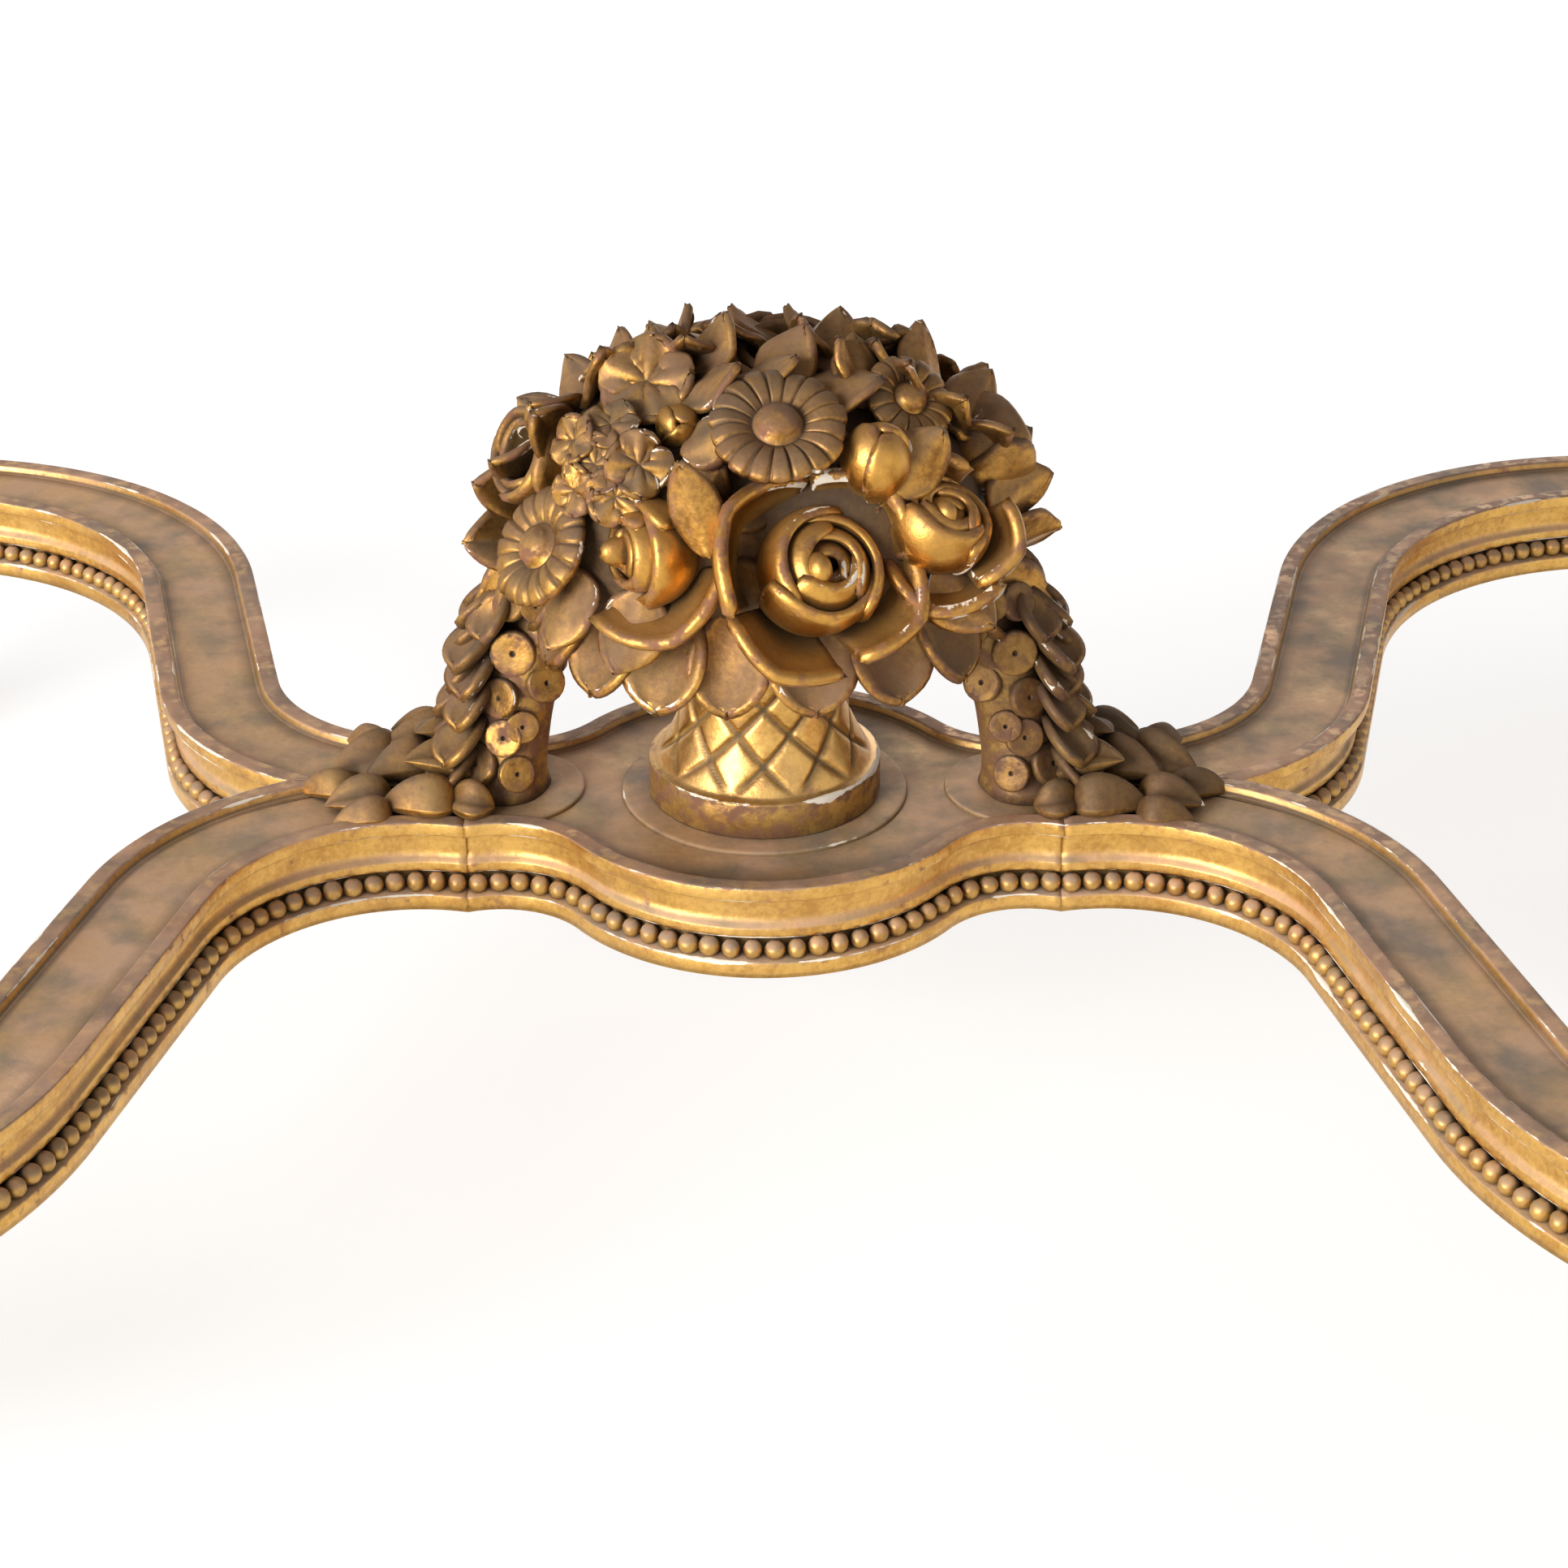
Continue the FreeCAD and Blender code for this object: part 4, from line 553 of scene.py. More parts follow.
class TABLE_OT_carve_stretcher(bpy.types.Operator):
    """Carve the middle block of the stretcher and its four arms"""
    bl_idname = "centre_table.carve_stretcher"
    bl_label = "Carve stretcher"

    def execute(self, context):
        sizes = context.scene.table_stretcher
        piece("carved_stretcher_block", carve_block(sizes), "stretcher_block")
        arm = carve_arm(sizes)
        for quarter, (sx, sy) in QUARTERS.items():
            piece("carved_arm_" + quarter, mirrored(arm, sx, sy), "stretcher_arm_" + quarter)
        return {"FINISHED"}


def along(line, pitch, start):
    """Points spaced evenly along a plan line, from a start distance to the same distance before its end."""
    step = np.linalg.norm(np.diff(line, axis=0), axis=1)
    reach = np.concatenate(([0], np.cumsum(step)))
    count = max(int((reach[-1] - 2 * start) / pitch), 1)
    at = start + np.arange(count + 1) * (reach[-1] - 2 * start) / count
    return np.stack([np.interp(at, reach, line[:, i]) for i in range(2)], -1)


# How much beads differ in size, how far in millimetres they sit high or low, and how far the apron's end
# beads stay from the posts as a share of their radius
BEAD_GROWTH, BEAD_SHIFT, POST_GAP = (0.9, 1.06), 0.3, 1.15


def bead_row(sizes, places, level, rng):
    """Round beads at plan places: a sphere in few faces, each a little larger or smaller than the next."""
    rows = ball(BEAD_LEVELS, BEAD_SIDES) * sizes.bead
    marks = np.zeros_like(rows)
    # Painted shade on each bead, darkest at its foot and fading upwards
    marks[..., GRIME_AND_SHADE] = np.linspace(0.5, 0.1, len(rows))[:, None]
    one = rings(rows, marks)
    grow = rng.uniform(*BEAD_GROWTH, (len(places), 3))
    shift = rng.uniform(-BEAD_SHIFT, BEAD_SHIFT, (len(places), 1)) * MM
    middle = np.concatenate((places, level + shift), 1)
    return join([one._replace(points=one.points * factor + at) for factor, at in zip(grow, middle)])


def apron_places(sizes):
    """Plan places and level of the beads along the foot of the apron, between the posts of the legs."""
    low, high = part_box("apron_beads")
    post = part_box("leg_rear_right")[0]
    rows = []
    for i in range(2):
        half = post[i] - POST_GAP * sizes.bead
        run = np.linspace(-half, half, int(2 * half / sizes.pitch) + 1)
        for side in (-1, 1):
            row = np.stack((run, np.full(len(run), side * (high[1 - i] - sizes.bead))), -1)
            rows.append(row[:, ::-1] if i else row)
    return np.concatenate(rows), (low.z + high.z) / 2


class TABLE_OT_set_beads(bpy.types.Operator):
    """Set the rows of beads along the edges of the stretcher and the foot of the apron"""
    bl_idname = "centre_table.set_beads"
    bl_label = "Set beads"

    def execute(self, context):
        sizes = context.scene.table_stretcher
        shape = plan(sizes)
        rng = np.random.default_rng(BEAD_SEED)
        level = STRETCHER_TOP - sizes.bead_drop
        reach = shape.half - sizes.bead_inset
        lines = arm_lines(shape, [-reach, reach])
        places = np.concatenate([along(lines[:, i], sizes.pitch, sizes.pitch / 2) for i in range(2)])
        for quarter, (sx, sy) in QUARTERS.items():
            row = bead_row(sizes, places * (sx, sy), level, rng)
            piece("carved_beads_" + quarter, row, "stretcher_beads_" + quarter)
        rear = along(block_lines(shape, [sizes.bead_inset])[:, 0], sizes.pitch, sizes.pitch / 2)
        row = bead_row(sizes, np.concatenate((rear, rear * (1, -1))), level, rng)
        piece("carved_block_beads", row, "stretcher_block_beads")
        piece("carved_apron_beads", bead_row(sizes, *apron_places(sizes), rng), "apron_beads")
        return {"FINISHED"}


# Outline of the basket's base from its underside over the upright edge to the ledge, as shares of its radius
# and of its height
BASE_REACH = (0.05, 0.6, 0.985, 1.0, 1.0, 1.0, 0.99, 0.965, 0.93)
BASE_LEVEL = (0, 0, 0, 0.04, 0.5, 0.93, 0.985, 1.0, 1.01)
# Rows of points up the neck and points round it
NECK_ROWS, NECK_SIDES = 62, 300
# Width of a groove of the lattice as a share of a diamond, its depth and the diamonds' swell in millimetres,
# and the height over which the lattice starts
GROOVE, GROOVE_DEPTH, DIAMOND_SWELL, LATTICE_START = 0.13, 1.3, 0.9, 6 * MM


def carve_basket(sizes):
    """Basket foot: an upright edge, a level ledge and a hollow neck that widens again under the flowers.

    Two sets of grooves wind up the neck in opposite turns and leave raised diamonds between them.
    """
    foot = VASE_LOW.z
    ledge = foot + sizes.base_height
    neck = STRETCHER_TOP + sizes.neck_rise
    top = VASE_HIGH.z
    base = np.array(BASE_REACH)[:, None] * sizes.base
    base_z = np.array(BASE_LEVEL) * sizes.base_height + foot
    rise = np.linspace(0, 1, NECK_ROWS)
    z = ledge + (BASE_LEVEL[-1] - 1) * sizes.base_height + (top - ledge) * rise
    low = np.clip((neck - z) / (neck - ledge), 0, 1)
    high = np.clip((z - neck) / (top - neck), 0, 1)
    flare = BASE_REACH[-1] * sizes.base - sizes.neck
    reach = sizes.neck + flare * low ** 2.6 + (sizes.top - sizes.neck) * high ** 2
    turn = circle(NECK_SIDES)
    climb = ((z - ledge) / sizes.diamond)[:, None]
    around = turn * sizes.diamonds / FULL_TURN
    first, second = [np.abs((around + way * climb) % 1 - 0.5) * 2 for way in (1, -1)]
    groove = np.exp(-((1 - first) / GROOVE) ** 2) + np.exp(-((1 - second) / GROOVE) ** 2)
    groove = np.minimum(groove, 1)
    pillow = (1 - first ** 4) * (1 - second ** 4)
    fade = ease((z - ledge) / LATTICE_START)[:, None]
    relief = fade * (DIAMOND_SWELL * pillow - GROOVE_DEPTH * groove) * MM
    radius = np.concatenate((base + 0 * turn, reach[1:, None] + relief[1:]))
    rows = turned(radius, np.concatenate((base_z, z[1:]))[:, None], turn)
    marks = np.zeros_like(rows)
    count, side = len(BASE_REACH), slice(3, 6)
    marks[4:count, :, WEAR] = np.array((0, 0.8, 1.0, 0.7, 0))[:, None]
    # Painted shade on the underside of the foot, and grime with painted shade in the lattice's grooves
    marks[:4, :, GRIME_AND_SHADE] = np.array((1, 1, 0.9, 0.6))[:, None]
    marks[count:, :, GRIME_AND_SHADE] = groove[1:] * fade[1:] * 0.95
    # Upright edge: leaf rubbed to the clay, and painted shade that stands in for the dark panel it reflects
    marks[side, :, RUB] = 0.5
    marks[side, :, GRIME_AND_SHADE] = np.maximum(marks[side, :, GRIME_AND_SHADE], 0.42)
    return rings(rows, marks)


class TABLE_OT_turn_basket(bpy.types.Operator):
    """Turn the basket's foot and cut the lattice into its neck"""
    bl_idname = "centre_table.turn_basket"
    bl_label = "Turn basket"

    def execute(self, context):
        piece("carved_basket_foot", carve_basket(context.scene.table_basket), "vase", "bright_gilding")
        return {"FINISHED"}


def petal(rows, cols, radius, turn, spread, base, lip, flare=0.0, curl=0.0, droop=0.35, tuck=0.1,
          stretch=1.0, tip=0.0):
    """Sheet of one cupped petal about a flower's facing axis.

    Across runs the turn about the axis, and along runs the angle from the axis, from the base to the lip,
    which droops towards the sides. The distance from the middle grows with the flare, and more in the middle
    of the lip by the tip. It shrinks to one side so that the next petal lies over it, and the lip curls out
    and back.
    """
    across = np.linspace(-1, 1, cols)
    share = np.linspace(0, 1, rows)[:, None]
    lean = base + (lip + droop * np.abs(across) ** 6 - base) * share
    grow = flare + tip * (1 - np.abs(across))
    reach = radius * (1 + grow * share ** 2) * (1 - tuck * (across + 1) / 2)
    around = turn + spread * across * (0.85 + 0.15 * share)
    curl_start = 0.62
    rolled = ease((share - curl_start) / (1 - curl_start)) + 0 * across
    out = reach * np.sin(lean) + curl * radius * rolled
    high = stretch * reach * np.cos(lean) - 0.55 * curl * radius * rolled ** 2
    return turned(out, high, around)


# Whorls of a rose's bulb from its heart outwards: radius as a share of the bulb, petals, lip and base in
# degrees from the facing axis, half spread in degrees and curl
ROSE_WHORLS = ((0.56, 2, 24, 100, 100, 0.0), (0.78, 3, 38, 112, 84, 0.03), (1.00, 3, 56, 150, 80, 0.02))
# Turn in degrees of an inner whorl, times how much smaller it is than the outer one
WHORL_TWIST = 70
# Half lengths and place of the small round heart, as shares of the bulb
HEART_SIZE, HEART_PLACE = (0.26, 0.34, 0.55), (-0.24, -0.06, 0.28)
# Angle from the facing axis, in degrees, at which the outer petals and the petals of a bud spring
SPRING = 150


def carve_bulb(bulb, thickness, first_turn, opening, seed):
    """Rose's bulb that faces along its third axis: closed whorls round a hollow with a small heart in it."""
    rng = np.random.default_rng(seed)
    level = np.linspace(0, 1, PETAL_ROWS)[:, None]
    parts = []
    for share, count, lip, base, spread, curl in ROSE_WHORLS:
        for i in range(count):
            turn = first_turn + 360 * i / count + WHORL_TWIST * (1 - share) + rng.uniform(-12, 12)
            open_lip = lip + opening * share ** 2 + rng.uniform(-6, 6)
            sheet = petal(PETAL_ROWS, PETAL_COLS, share * bulb, *np.radians((turn, spread, base, open_lip)),
                          0.0, curl, droop=np.radians(10), tuck=0.15)
            # Painted shade at the base of each petal and on its inner face, darkest towards the heart
            parts.append(shell(sheet, thickness * (0.7 + 0.3 * share), 0.8 * np.clip(1 - level / 0.35, 0, 1),
                               np.clip(1.3 - level, 0, 1)))
    heart = ball(HEART_LEVELS, HEART_SIDES) * np.array(HEART_SIZE) * bulb + np.array(HEART_PLACE) * bulb
    return join(parts + [rings(heart, np.array((0.0, 0.15, 0.2)))])


def carve_ring(bulb, thickness, petals):
    """Broad outer petals with thick lips about a rose that faces along its third axis.

    The petals are rows of turn, half spread and lip in degrees, flare, curl and growth to one side.
    """
    level = np.linspace(0, 1, PETAL_ROWS)[:, None]
    parts = []
    for turn, spread, lip, flare, curl, grow in petals:
        sheet = petal(PETAL_ROWS, PETAL_COLS, 1.05 * bulb, *np.radians((turn, spread, SPRING, lip)),
                      flare - 0.06, curl, droop=np.radians(5), tuck=-grow, tip=0.24)
        # Painted shade on the inner face of each petal, fading towards its lip
        parts.append(shell(sheet, thickness * (0.7 + 0.7 * level ** 2), 0.0,
                           0.35 * np.clip(1.1 - level, 0, 1)))
    return join(parts)


def carve_daisy(radius, petals, seed, stem):
    """Daisy that faces along its third axis: a round boss and a ring of petals with grooves between them.

    The face is a height over a polar grid: a dome on the boss, then petals that arch out and droop at their
    ends, each rounded across and set a little higher or lower. The back runs down to a stem. Reach and height
    are shares of the radius.
    """
    rng = np.random.default_rng(seed)
    turn = circle(petals * DAISY_CELLS)
    cell = turn * petals / FULL_TURN
    across = 2 * (cell % 1) - 1
    lift = rng.uniform(-1, 1, petals)[cell.astype(int)]
    short = rng.uniform(0, 1, petals)[cell.astype(int)]
    boss = 0.35
    dome = np.linspace(0.05, 1, BOSS_ROWS)[:, None]
    boss_height = 0.04 + 0.26 * np.sqrt(np.maximum(1 - dome ** 2, 0))
    boss_rows = np.stack((boss * dome + 0 * turn, boss_height + 0 * turn), -1)
    share = np.linspace(0.03, 1, DAISY_ROWS)[:, None]
    outer = 1 - 0.05 * short - 0.07 * np.abs(across) ** 6
    reach = boss + (outer - boss) * share
    arch = 0.03 + 0.16 * np.sin(np.pi * 0.60 * share) - 0.16 * share ** 3
    tilt = 0.03 * lift * across * np.sqrt(share)
    swell = 0.022 * np.sqrt(np.maximum(1 - across ** 2, 0)) - 0.05 * np.abs(across) ** 12
    swell = swell * ease(share * 4)
    petal_rows = np.stack((reach, arch + swell + tilt + 0.02 * lift * share), -1)
    edge = petal_rows[-1]
    back = np.stack([edge + (0.005, -0.05), edge * (0.985, 1) - (0, 0.11),
                     edge * (0.6, 1) - (0, 0.14), edge * (0.2, 0) - (0, stem * 0.6 / radius),
                     edge * (0.18, 0) - (0, stem / radius)])
    flat = np.concatenate((boss_rows, petal_rows, back)) * radius
    rows = turned(flat[..., 0], flat[..., 1], turn)
    marks = np.zeros_like(rows)
    face = slice(BOSS_ROWS, BOSS_ROWS + DAISY_ROWS)
    ends = slice(face.stop - 3, face.stop + 2)
    # Grime with painted shade in the seams between the petals and round the boss, every petal a little
    # darker, and painted shade over the whole back
    seam = np.exp(-((1 - np.abs(across)) / 0.12) ** 2)
    grime = np.maximum(0.75 * seam * ease(share * 5), np.exp(-(share / 0.12) ** 2))
    marks[face, :, GRIME_AND_SHADE] = np.maximum(grime, 0.24)
    marks[ends, :, WEAR] = np.array((0.0, 0.4, 1.0, 1.0, 0.5))[:, None]
    marks[2:BOSS_ROWS, :, WEAR] = np.array((0.0, 0.1, 0.25, 0.4, 0.3, 0.0))[:, None]
    marks[ends.stop:, :, GRIME_AND_SHADE] = 1.0
    marks[:BOSS_ROWS - 1, :, RUB] = 0.5
    return rings(rows, marks)


def leaf(length, width, widest=1.0, point=0.8, cup=0.0, fold=0.0, bend=0.0, wave=0.0, ribs=0.0, cols=11):
    """Sheet of a leaf along its second axis, facing along its third.

    The half width is a power of a hump from end to end, so that the tip is rounder or more pointed. The sides
    curve up by the cup, fall from a crease by the fold and ripple by the wave. Ribs run out from the base,
    and the whole bends with the square of the way along.
    """
    way = (1 - np.cos(np.linspace(0.10, 0.965, LEAF_ROWS) * np.pi)) / 2
    hump = (4 * way ** widest * (1 - way ** widest))[:, None] ** point
    way = way[:, None]
    across = np.linspace(-1, 1, cols)
    x = across * hump * width / 2
    height = width * hump * (cup * across ** 2 - fold * (np.sqrt(across ** 2 + 0.01) - 0.1))
    height = height + width * wave * np.sin(9 * way) * across * np.abs(across) + bend * length * way ** 2
    height = height + width * ribs * np.cos(3 * np.pi * across) * ease(1.5 - 2 * way)
    return np.stack((x, length * way + 0 * x, height), -1)


def leaf_rows(forward, facing):
    """Across, along and facing directions of a leaf, as rows, from its way and roughly how it faces."""
    forward = unit(forward)
    across = unit(np.cross(forward, facing))
    return np.array([across, forward, np.cross(across, forward)])


def heap(sizes):
    """Middle and half lengths of the round heap of flowers."""
    half = np.array((sizes.half_width, sizes.half_depth, sizes.half_height))
    return np.array((0, 0, STRETCHER_TOP + sizes.rise)), half


def heap_place(sizes, azimuth, elevation, share=1.0):
    """Point and outward direction on the heap, from degrees right of the front and above the level."""
    azimuth, elevation = np.radians((azimuth, elevation))
    level = np.cos(elevation)
    ray = np.array((np.sin(azimuth) * level, -np.cos(azimuth) * level, np.sin(elevation)))
    centre, half = heap(sizes)
    reach = 1 / np.linalg.norm(ray / half)
    return centre + ray * reach * share, unit(ray / half ** 2)


# Share of the way out to the heap's surface beyond which carving has no painted shade, the share over which
# painted shade grows further in, and the most it comes to
UNSHADED_SHARE, SHADING_SHARE, MOST_DEEP_SHADE = 0.93, 0.22, 0.95


def sunk(surface, sizes):
    """Surface with more painted shade, held in the grime mark, the deeper a point lies inside the heap."""
    centre, half = heap(sizes)
    inside = np.linalg.norm((surface.points - centre) / half, axis=1)
    return shaded_and_soiled(surface, MOST_DEEP_SHADE * ease((UNSHADED_SHARE - inside) / SHADING_SHARE))


def heap_leaf(sizes, azimuth, elevation, heading, lift, length, width, share, **shape):
    """Leaf that starts on the heap and points along it by a heading from upwards, lifted by an angle."""
    start, out = heap_place(sizes, azimuth, elevation, share)
    right, up = axes(out)[:2]
    heading, lift = np.radians((heading, lift))
    forward = np.cos(heading) * up + np.sin(heading) * right
    way = np.cos(lift) * forward + np.sin(lift) * out
    facing = np.cos(lift) * out - np.sin(lift) * forward
    # Painted shade on the leaf's underside
    blade = shell(leaf(length * MM, width * MM, **shape), sizes.leaf, 0.0, 0.35)
    return placed(blade, start, leaf_rows(way, facing))


# Roses as the middle in millimetres (height above the stretcher), bulb radius, facing direction, turn of the
# first petals, opening of the bulb in degrees, seed, facing direction of the outer petals, and those as turn,
# half spread and lip in degrees, flare, curl and growth to one side
ROSES = {
    "front": ((22, -66, 127), 25.0, (0.36, -0.68, 0.63), 20, 0, 3, (0.30, -0.74, 0.60),
              ((143, 52, 66, 0.34, 0.16, 0.28), (42, 42, 60, 0.42, 0.14, 0), (-36, 40, 76, 0.44, 0.12, 0),
               (-126, 36, 86, 0.52, 0.12, 0))),
    "left": ((-47, -60, 134), 21.0, (-0.88, -0.44, 0.10), 15, 26, 8, (-0.30, -0.82, 0.48),
             ((-62, 56, 84, 0.46, 0.14, 0), (40, 30, 74, 0.32, 0.12, 0))),
    "right": ((71, -48, 140), 19.5, (0.39, -0.36, 0.84), 225, 0, 5, (0.10, -0.85, 0.50),
              ((-98, 48, 80, 0.22, 0.14, 0.34), (-22, 36, 78, 0.36, 0.12, 0),
               (110, 48, 80, 0.20, 0.10, 0))),
}
# Daisies as the middle and radius in millimetres, facing direction, petals and seed
DAISIES = {
    "upper": ((6, -53, 184), 28.0, (0.03, -0.52, 0.85), 18, 4),
    "side": ((-90, -42, 128), 26.0, (-0.68, -0.50, 0.54), 17, 6),
    "crown": ((59, -20, 183), 20.0, (0.45, -0.55, 0.70), 14, 7),
}
DAISY_STEM = 24 * MM


def at_height(place):
    """Place in metres from millimetres with the height counted from the stretcher's top."""
    return np.array(place) * MM + np.array((0, 0, STRETCHER_TOP))


class TABLE_OT_carve_roses(bpy.types.Operator):
    """Carve three roses on the front of the heap and their twins on the rear"""
    bl_idname = "centre_table.carve_roses"
    bl_label = "Carve roses"

    def execute(self, context):
        sizes = context.scene.table_flowers
        for name, (place, bulb, facing, turn, opening, seed, ring_facing, petals) in ROSES.items():
            heart = carve_bulb(bulb * MM, sizes.petal, turn, opening, seed)
            heart = placed(heart, at_height(place), axes(facing))
            ring = placed(carve_ring(bulb * MM, sizes.petal, petals), at_height(place), axes(ring_facing))
            rose = join([heart, sunk(ring, sizes)])
            piece("carved_rose_" + name, rose, "rose_" + name, "rubbed_gilding")
            piece("carved_rose_rear_" + name, half_turn(rose), "rose_rear_" + name, "rubbed_gilding")
        return {"FINISHED"}


class TABLE_OT_carve_daisies(bpy.types.Operator):
    """Carve three daisies on the front of the heap and their twins on the rear"""
    bl_idname = "centre_table.carve_daisies"
    bl_label = "Carve daisies"

    def execute(self, context):
        sizes = context.scene.table_flowers
        for name, (place, radius, facing, petals, seed) in DAISIES.items():
            daisy = carve_daisy(radius * MM, petals, seed, DAISY_STEM)
            daisy = sunk(placed(daisy, at_height(place), axes(facing)), sizes)
            piece("carved_daisy_" + name, daisy, "daisy_" + name, "dusty_gilding")
            piece("carved_daisy_rear_" + name, half_turn(daisy), "daisy_rear_" + name, "dusty_gilding")
        return {"FINISHED"}


def carve_bell(radius, thickness, count, seed):
    """Open flower of broad overlapping petals round a ridged throat, facing along its third axis."""
    rng = np.random.default_rng(seed)
    level = np.linspace(0, 1, LEAF_ROWS)[:, None]
    parts = []
    for i in range(count):
        turn = FULL_TURN * i / count + rng.uniform(-0.1, 0.1)
        way = np.array((np.cos(turn), np.sin(turn), 0.55 + rng.uniform(-0.15, 0.15)))
        sheet = leaf(radius * 1.15, radius * 1.25, widest=1.6, point=0.5, cup=0.16, fold=0.30, bend=-0.24,
                     wave=0.10, ribs=0.035, cols=19)
        start = -0.04 * radius * unit(way) + np.array((0, 0, 0.03 * radius * (i % 2)))
        # Painted shade at the base of each petal and on its underside
        blade = shell(sheet, thickness, np.clip(0.9 - 2.4 * level, 0, 1), 0.6)
        parts.append(placed(blade, start, leaf_rows(way, (0, 0, 1))))
    reach, height = np.array(((0.16, 0.12), (0.3, 0), (0.3, -1.2))).T[..., None] * radius
    # Painted shade in the throat
    throat = rings(turned(reach, height, circle(THROAT_SIDES)), np.array((0, 0.8, 0)))
    return join(parts + [throat])


def carve_bud(radius, thickness, seed, lip=14, stretch=1.25, count=3, flare=0.0):
    """Bud of overlapping cupped petals in two whorls, drawn out along its facing axis."""
    rng = np.random.default_rng(seed)
    level = np.linspace(0, 1, BUD_ROWS)[:, None]
    parts = []
    for shift, share in ((0.0, 0.8), (0.5, 1.0)):
        for i in range(count):
            turn = FULL_TURN * (i + shift) / count + rng.uniform(-0.15, 0.15)
            spread, base, open_lip = np.radians((72, SPRING, lip + rng.uniform(-4, 4)))
            sheet = petal(BUD_ROWS, BUD_COLS, radius * share, turn, spread, base, open_lip, flare,
                          0.3 * flare, droop=np.radians(24), tuck=0.14, stretch=stretch)
            # Painted shade at the base of each petal and over its inner face
            parts.append(shell(sheet, thickness, 0.7 * np.clip(1 - level / 0.4, 0, 1), 0.9))
    return join(parts)


def carve_scale(radius, thickness):
    """Flat round scale with a pinhole, facing along its third axis, from its radius across and up."""
    reach = np.array((0.05, 0.09, 0.12, 0.17, 0.55, 0.88, 0.98, 1.0, 0.93))[:, None]
    height = np.array((0.0, 0.1, 0.38, 0.40, 0.36, 0.48, 0.40, -0.35, -0.5))[:, None] * thickness
    turn = circle(COIN_SIDES)
    across, up = radius[0] * reach * np.cos(turn), radius[1] * reach * np.sin(turn)
    rows = np.stack((across, up, height + 0 * turn), -1)
    marks = np.zeros_like(rows)
    marks[..., WEAR] = np.array((0, 0, 0, 0, 0, 0.5, 0.9, 0.3, 0))[:, None]
    # Painted shade in the pinhole and on the underside, and the face a little darker
    marks[..., GRIME_AND_SHADE] = np.array((1, 1, 0.8, 0.32, 0.28, 0.2, 0.1, 0.9, 1))[:, None]
    marks[3:7, :, RUB] = 0.35
    return rings(rows, marks)


# Round florets of the cluster at the left: middle in millimetres, radius and facing direction
FLORETS = (
    ((-60, -38, 178), 10, (-0.3, -0.5, 0.8)), ((-74, -38, 172), 9.5, (-0.6, -0.5, 0.6)),
    ((-66, -48, 166), 11, (-0.3, -0.8, 0.5)), ((-49, -53, 168), 11.5, (0.2, -0.9, 0.4)),
    ((-58, -56, 156), 10.5, (0.0, -0.9, 0.3)), ((-74, -50, 156), 9, (-0.6, -0.75, 0.3)),
)
# Thickness of the petals of a floret and of the smallest bud
FLORET_PETAL, BUD_PETAL = 2.8 * MM, 2.6 * MM


class TABLE_OT_carve_small_flowers(bpy.types.Operator):
    """Carve the open flowers, the cluster of florets and the buds"""
    bl_idname = "centre_table.carve_small_flowers"
    bl_label = "Carve small flowers"

    def execute(self, context):
        sizes = context.scene.table_flowers
        bell = carve_bell(16.5 * MM, sizes.petal, count=5, seed=2)
        near_bud = carve_bud(13 * MM, sizes.petal, seed=1)
        small_bud = carve_bud(8 * MM, BUD_PETAL, seed=12)
        open_bud = carve_bud(16 * MM, sizes.petal, seed=5, lip=58, count=4, flare=0.25)
        # Heads of each node as the carving, its middle in millimetres, its facing direction and its roll
        heads = {
            "trumpets_high": [(bell, (-46, -18, 189), (-0.22, -0.72, 0.64), 0.3)],
            "trumpets_low": [(carve_bell(radius * MM, FLORET_PETAL, count=4, seed=i), place, facing, i)
                             for i, (place, radius, facing) in enumerate(FLORETS)],
            "buds_near": [(near_bud, (45, -50, 168), (0.10, -0.35, 0.93), 0),
                          (small_bud, (-34, -36, 178), (0.1, -0.8, 0.4), 0)],
            "buds_edge": [(open_bud, (-92, -6, 152), (-0.80, -0.45, 0.40), 0)],
        }
        crown = carve_bud(20 * MM, sizes.petal, seed=15, lip=62, count=4, flare=0.3)
        crown = sunk(placed(crown, at_height((8, 14, 182)), axes((0.1, -0.25, 0.95))), sizes)
        for node, parts in heads.items():
            flower = join([placed(head, at_height(place), axes(facing, roll))
                           for head, place, facing, roll in parts])
            flower = sunk(flower, sizes)
            top = [crown] if node == "trumpets_high" else []
            finish = "rubbed_gilding" if node == "buds_near" else "dusty_gilding"
            piece("carved_" + node, join([flower, half_turn(flower)] + top), node, finish)
        return {"FINISHED"}


# Broad petals under the flowers of the front half: azimuth, length, width and height of the tip
SKIRT = ((-88, 44, 30, 80), (-68, 45, 33, 73), (-47, 46, 34, 71), (-27, 46, 35, 70), (-9, 44, 32, 68),
         (13, 44, 35, 71), (36, 45, 36, 71), (59, 46, 36, 72), (84, 46, 34, 82))
# Half lengths in millimetres of the ovals on which those petals spring and end, and the first one's height
SPRING_OVAL, TIP_OVAL, SPRING_HEIGHT = (72, 56, 0), (88, 71, 0), 108
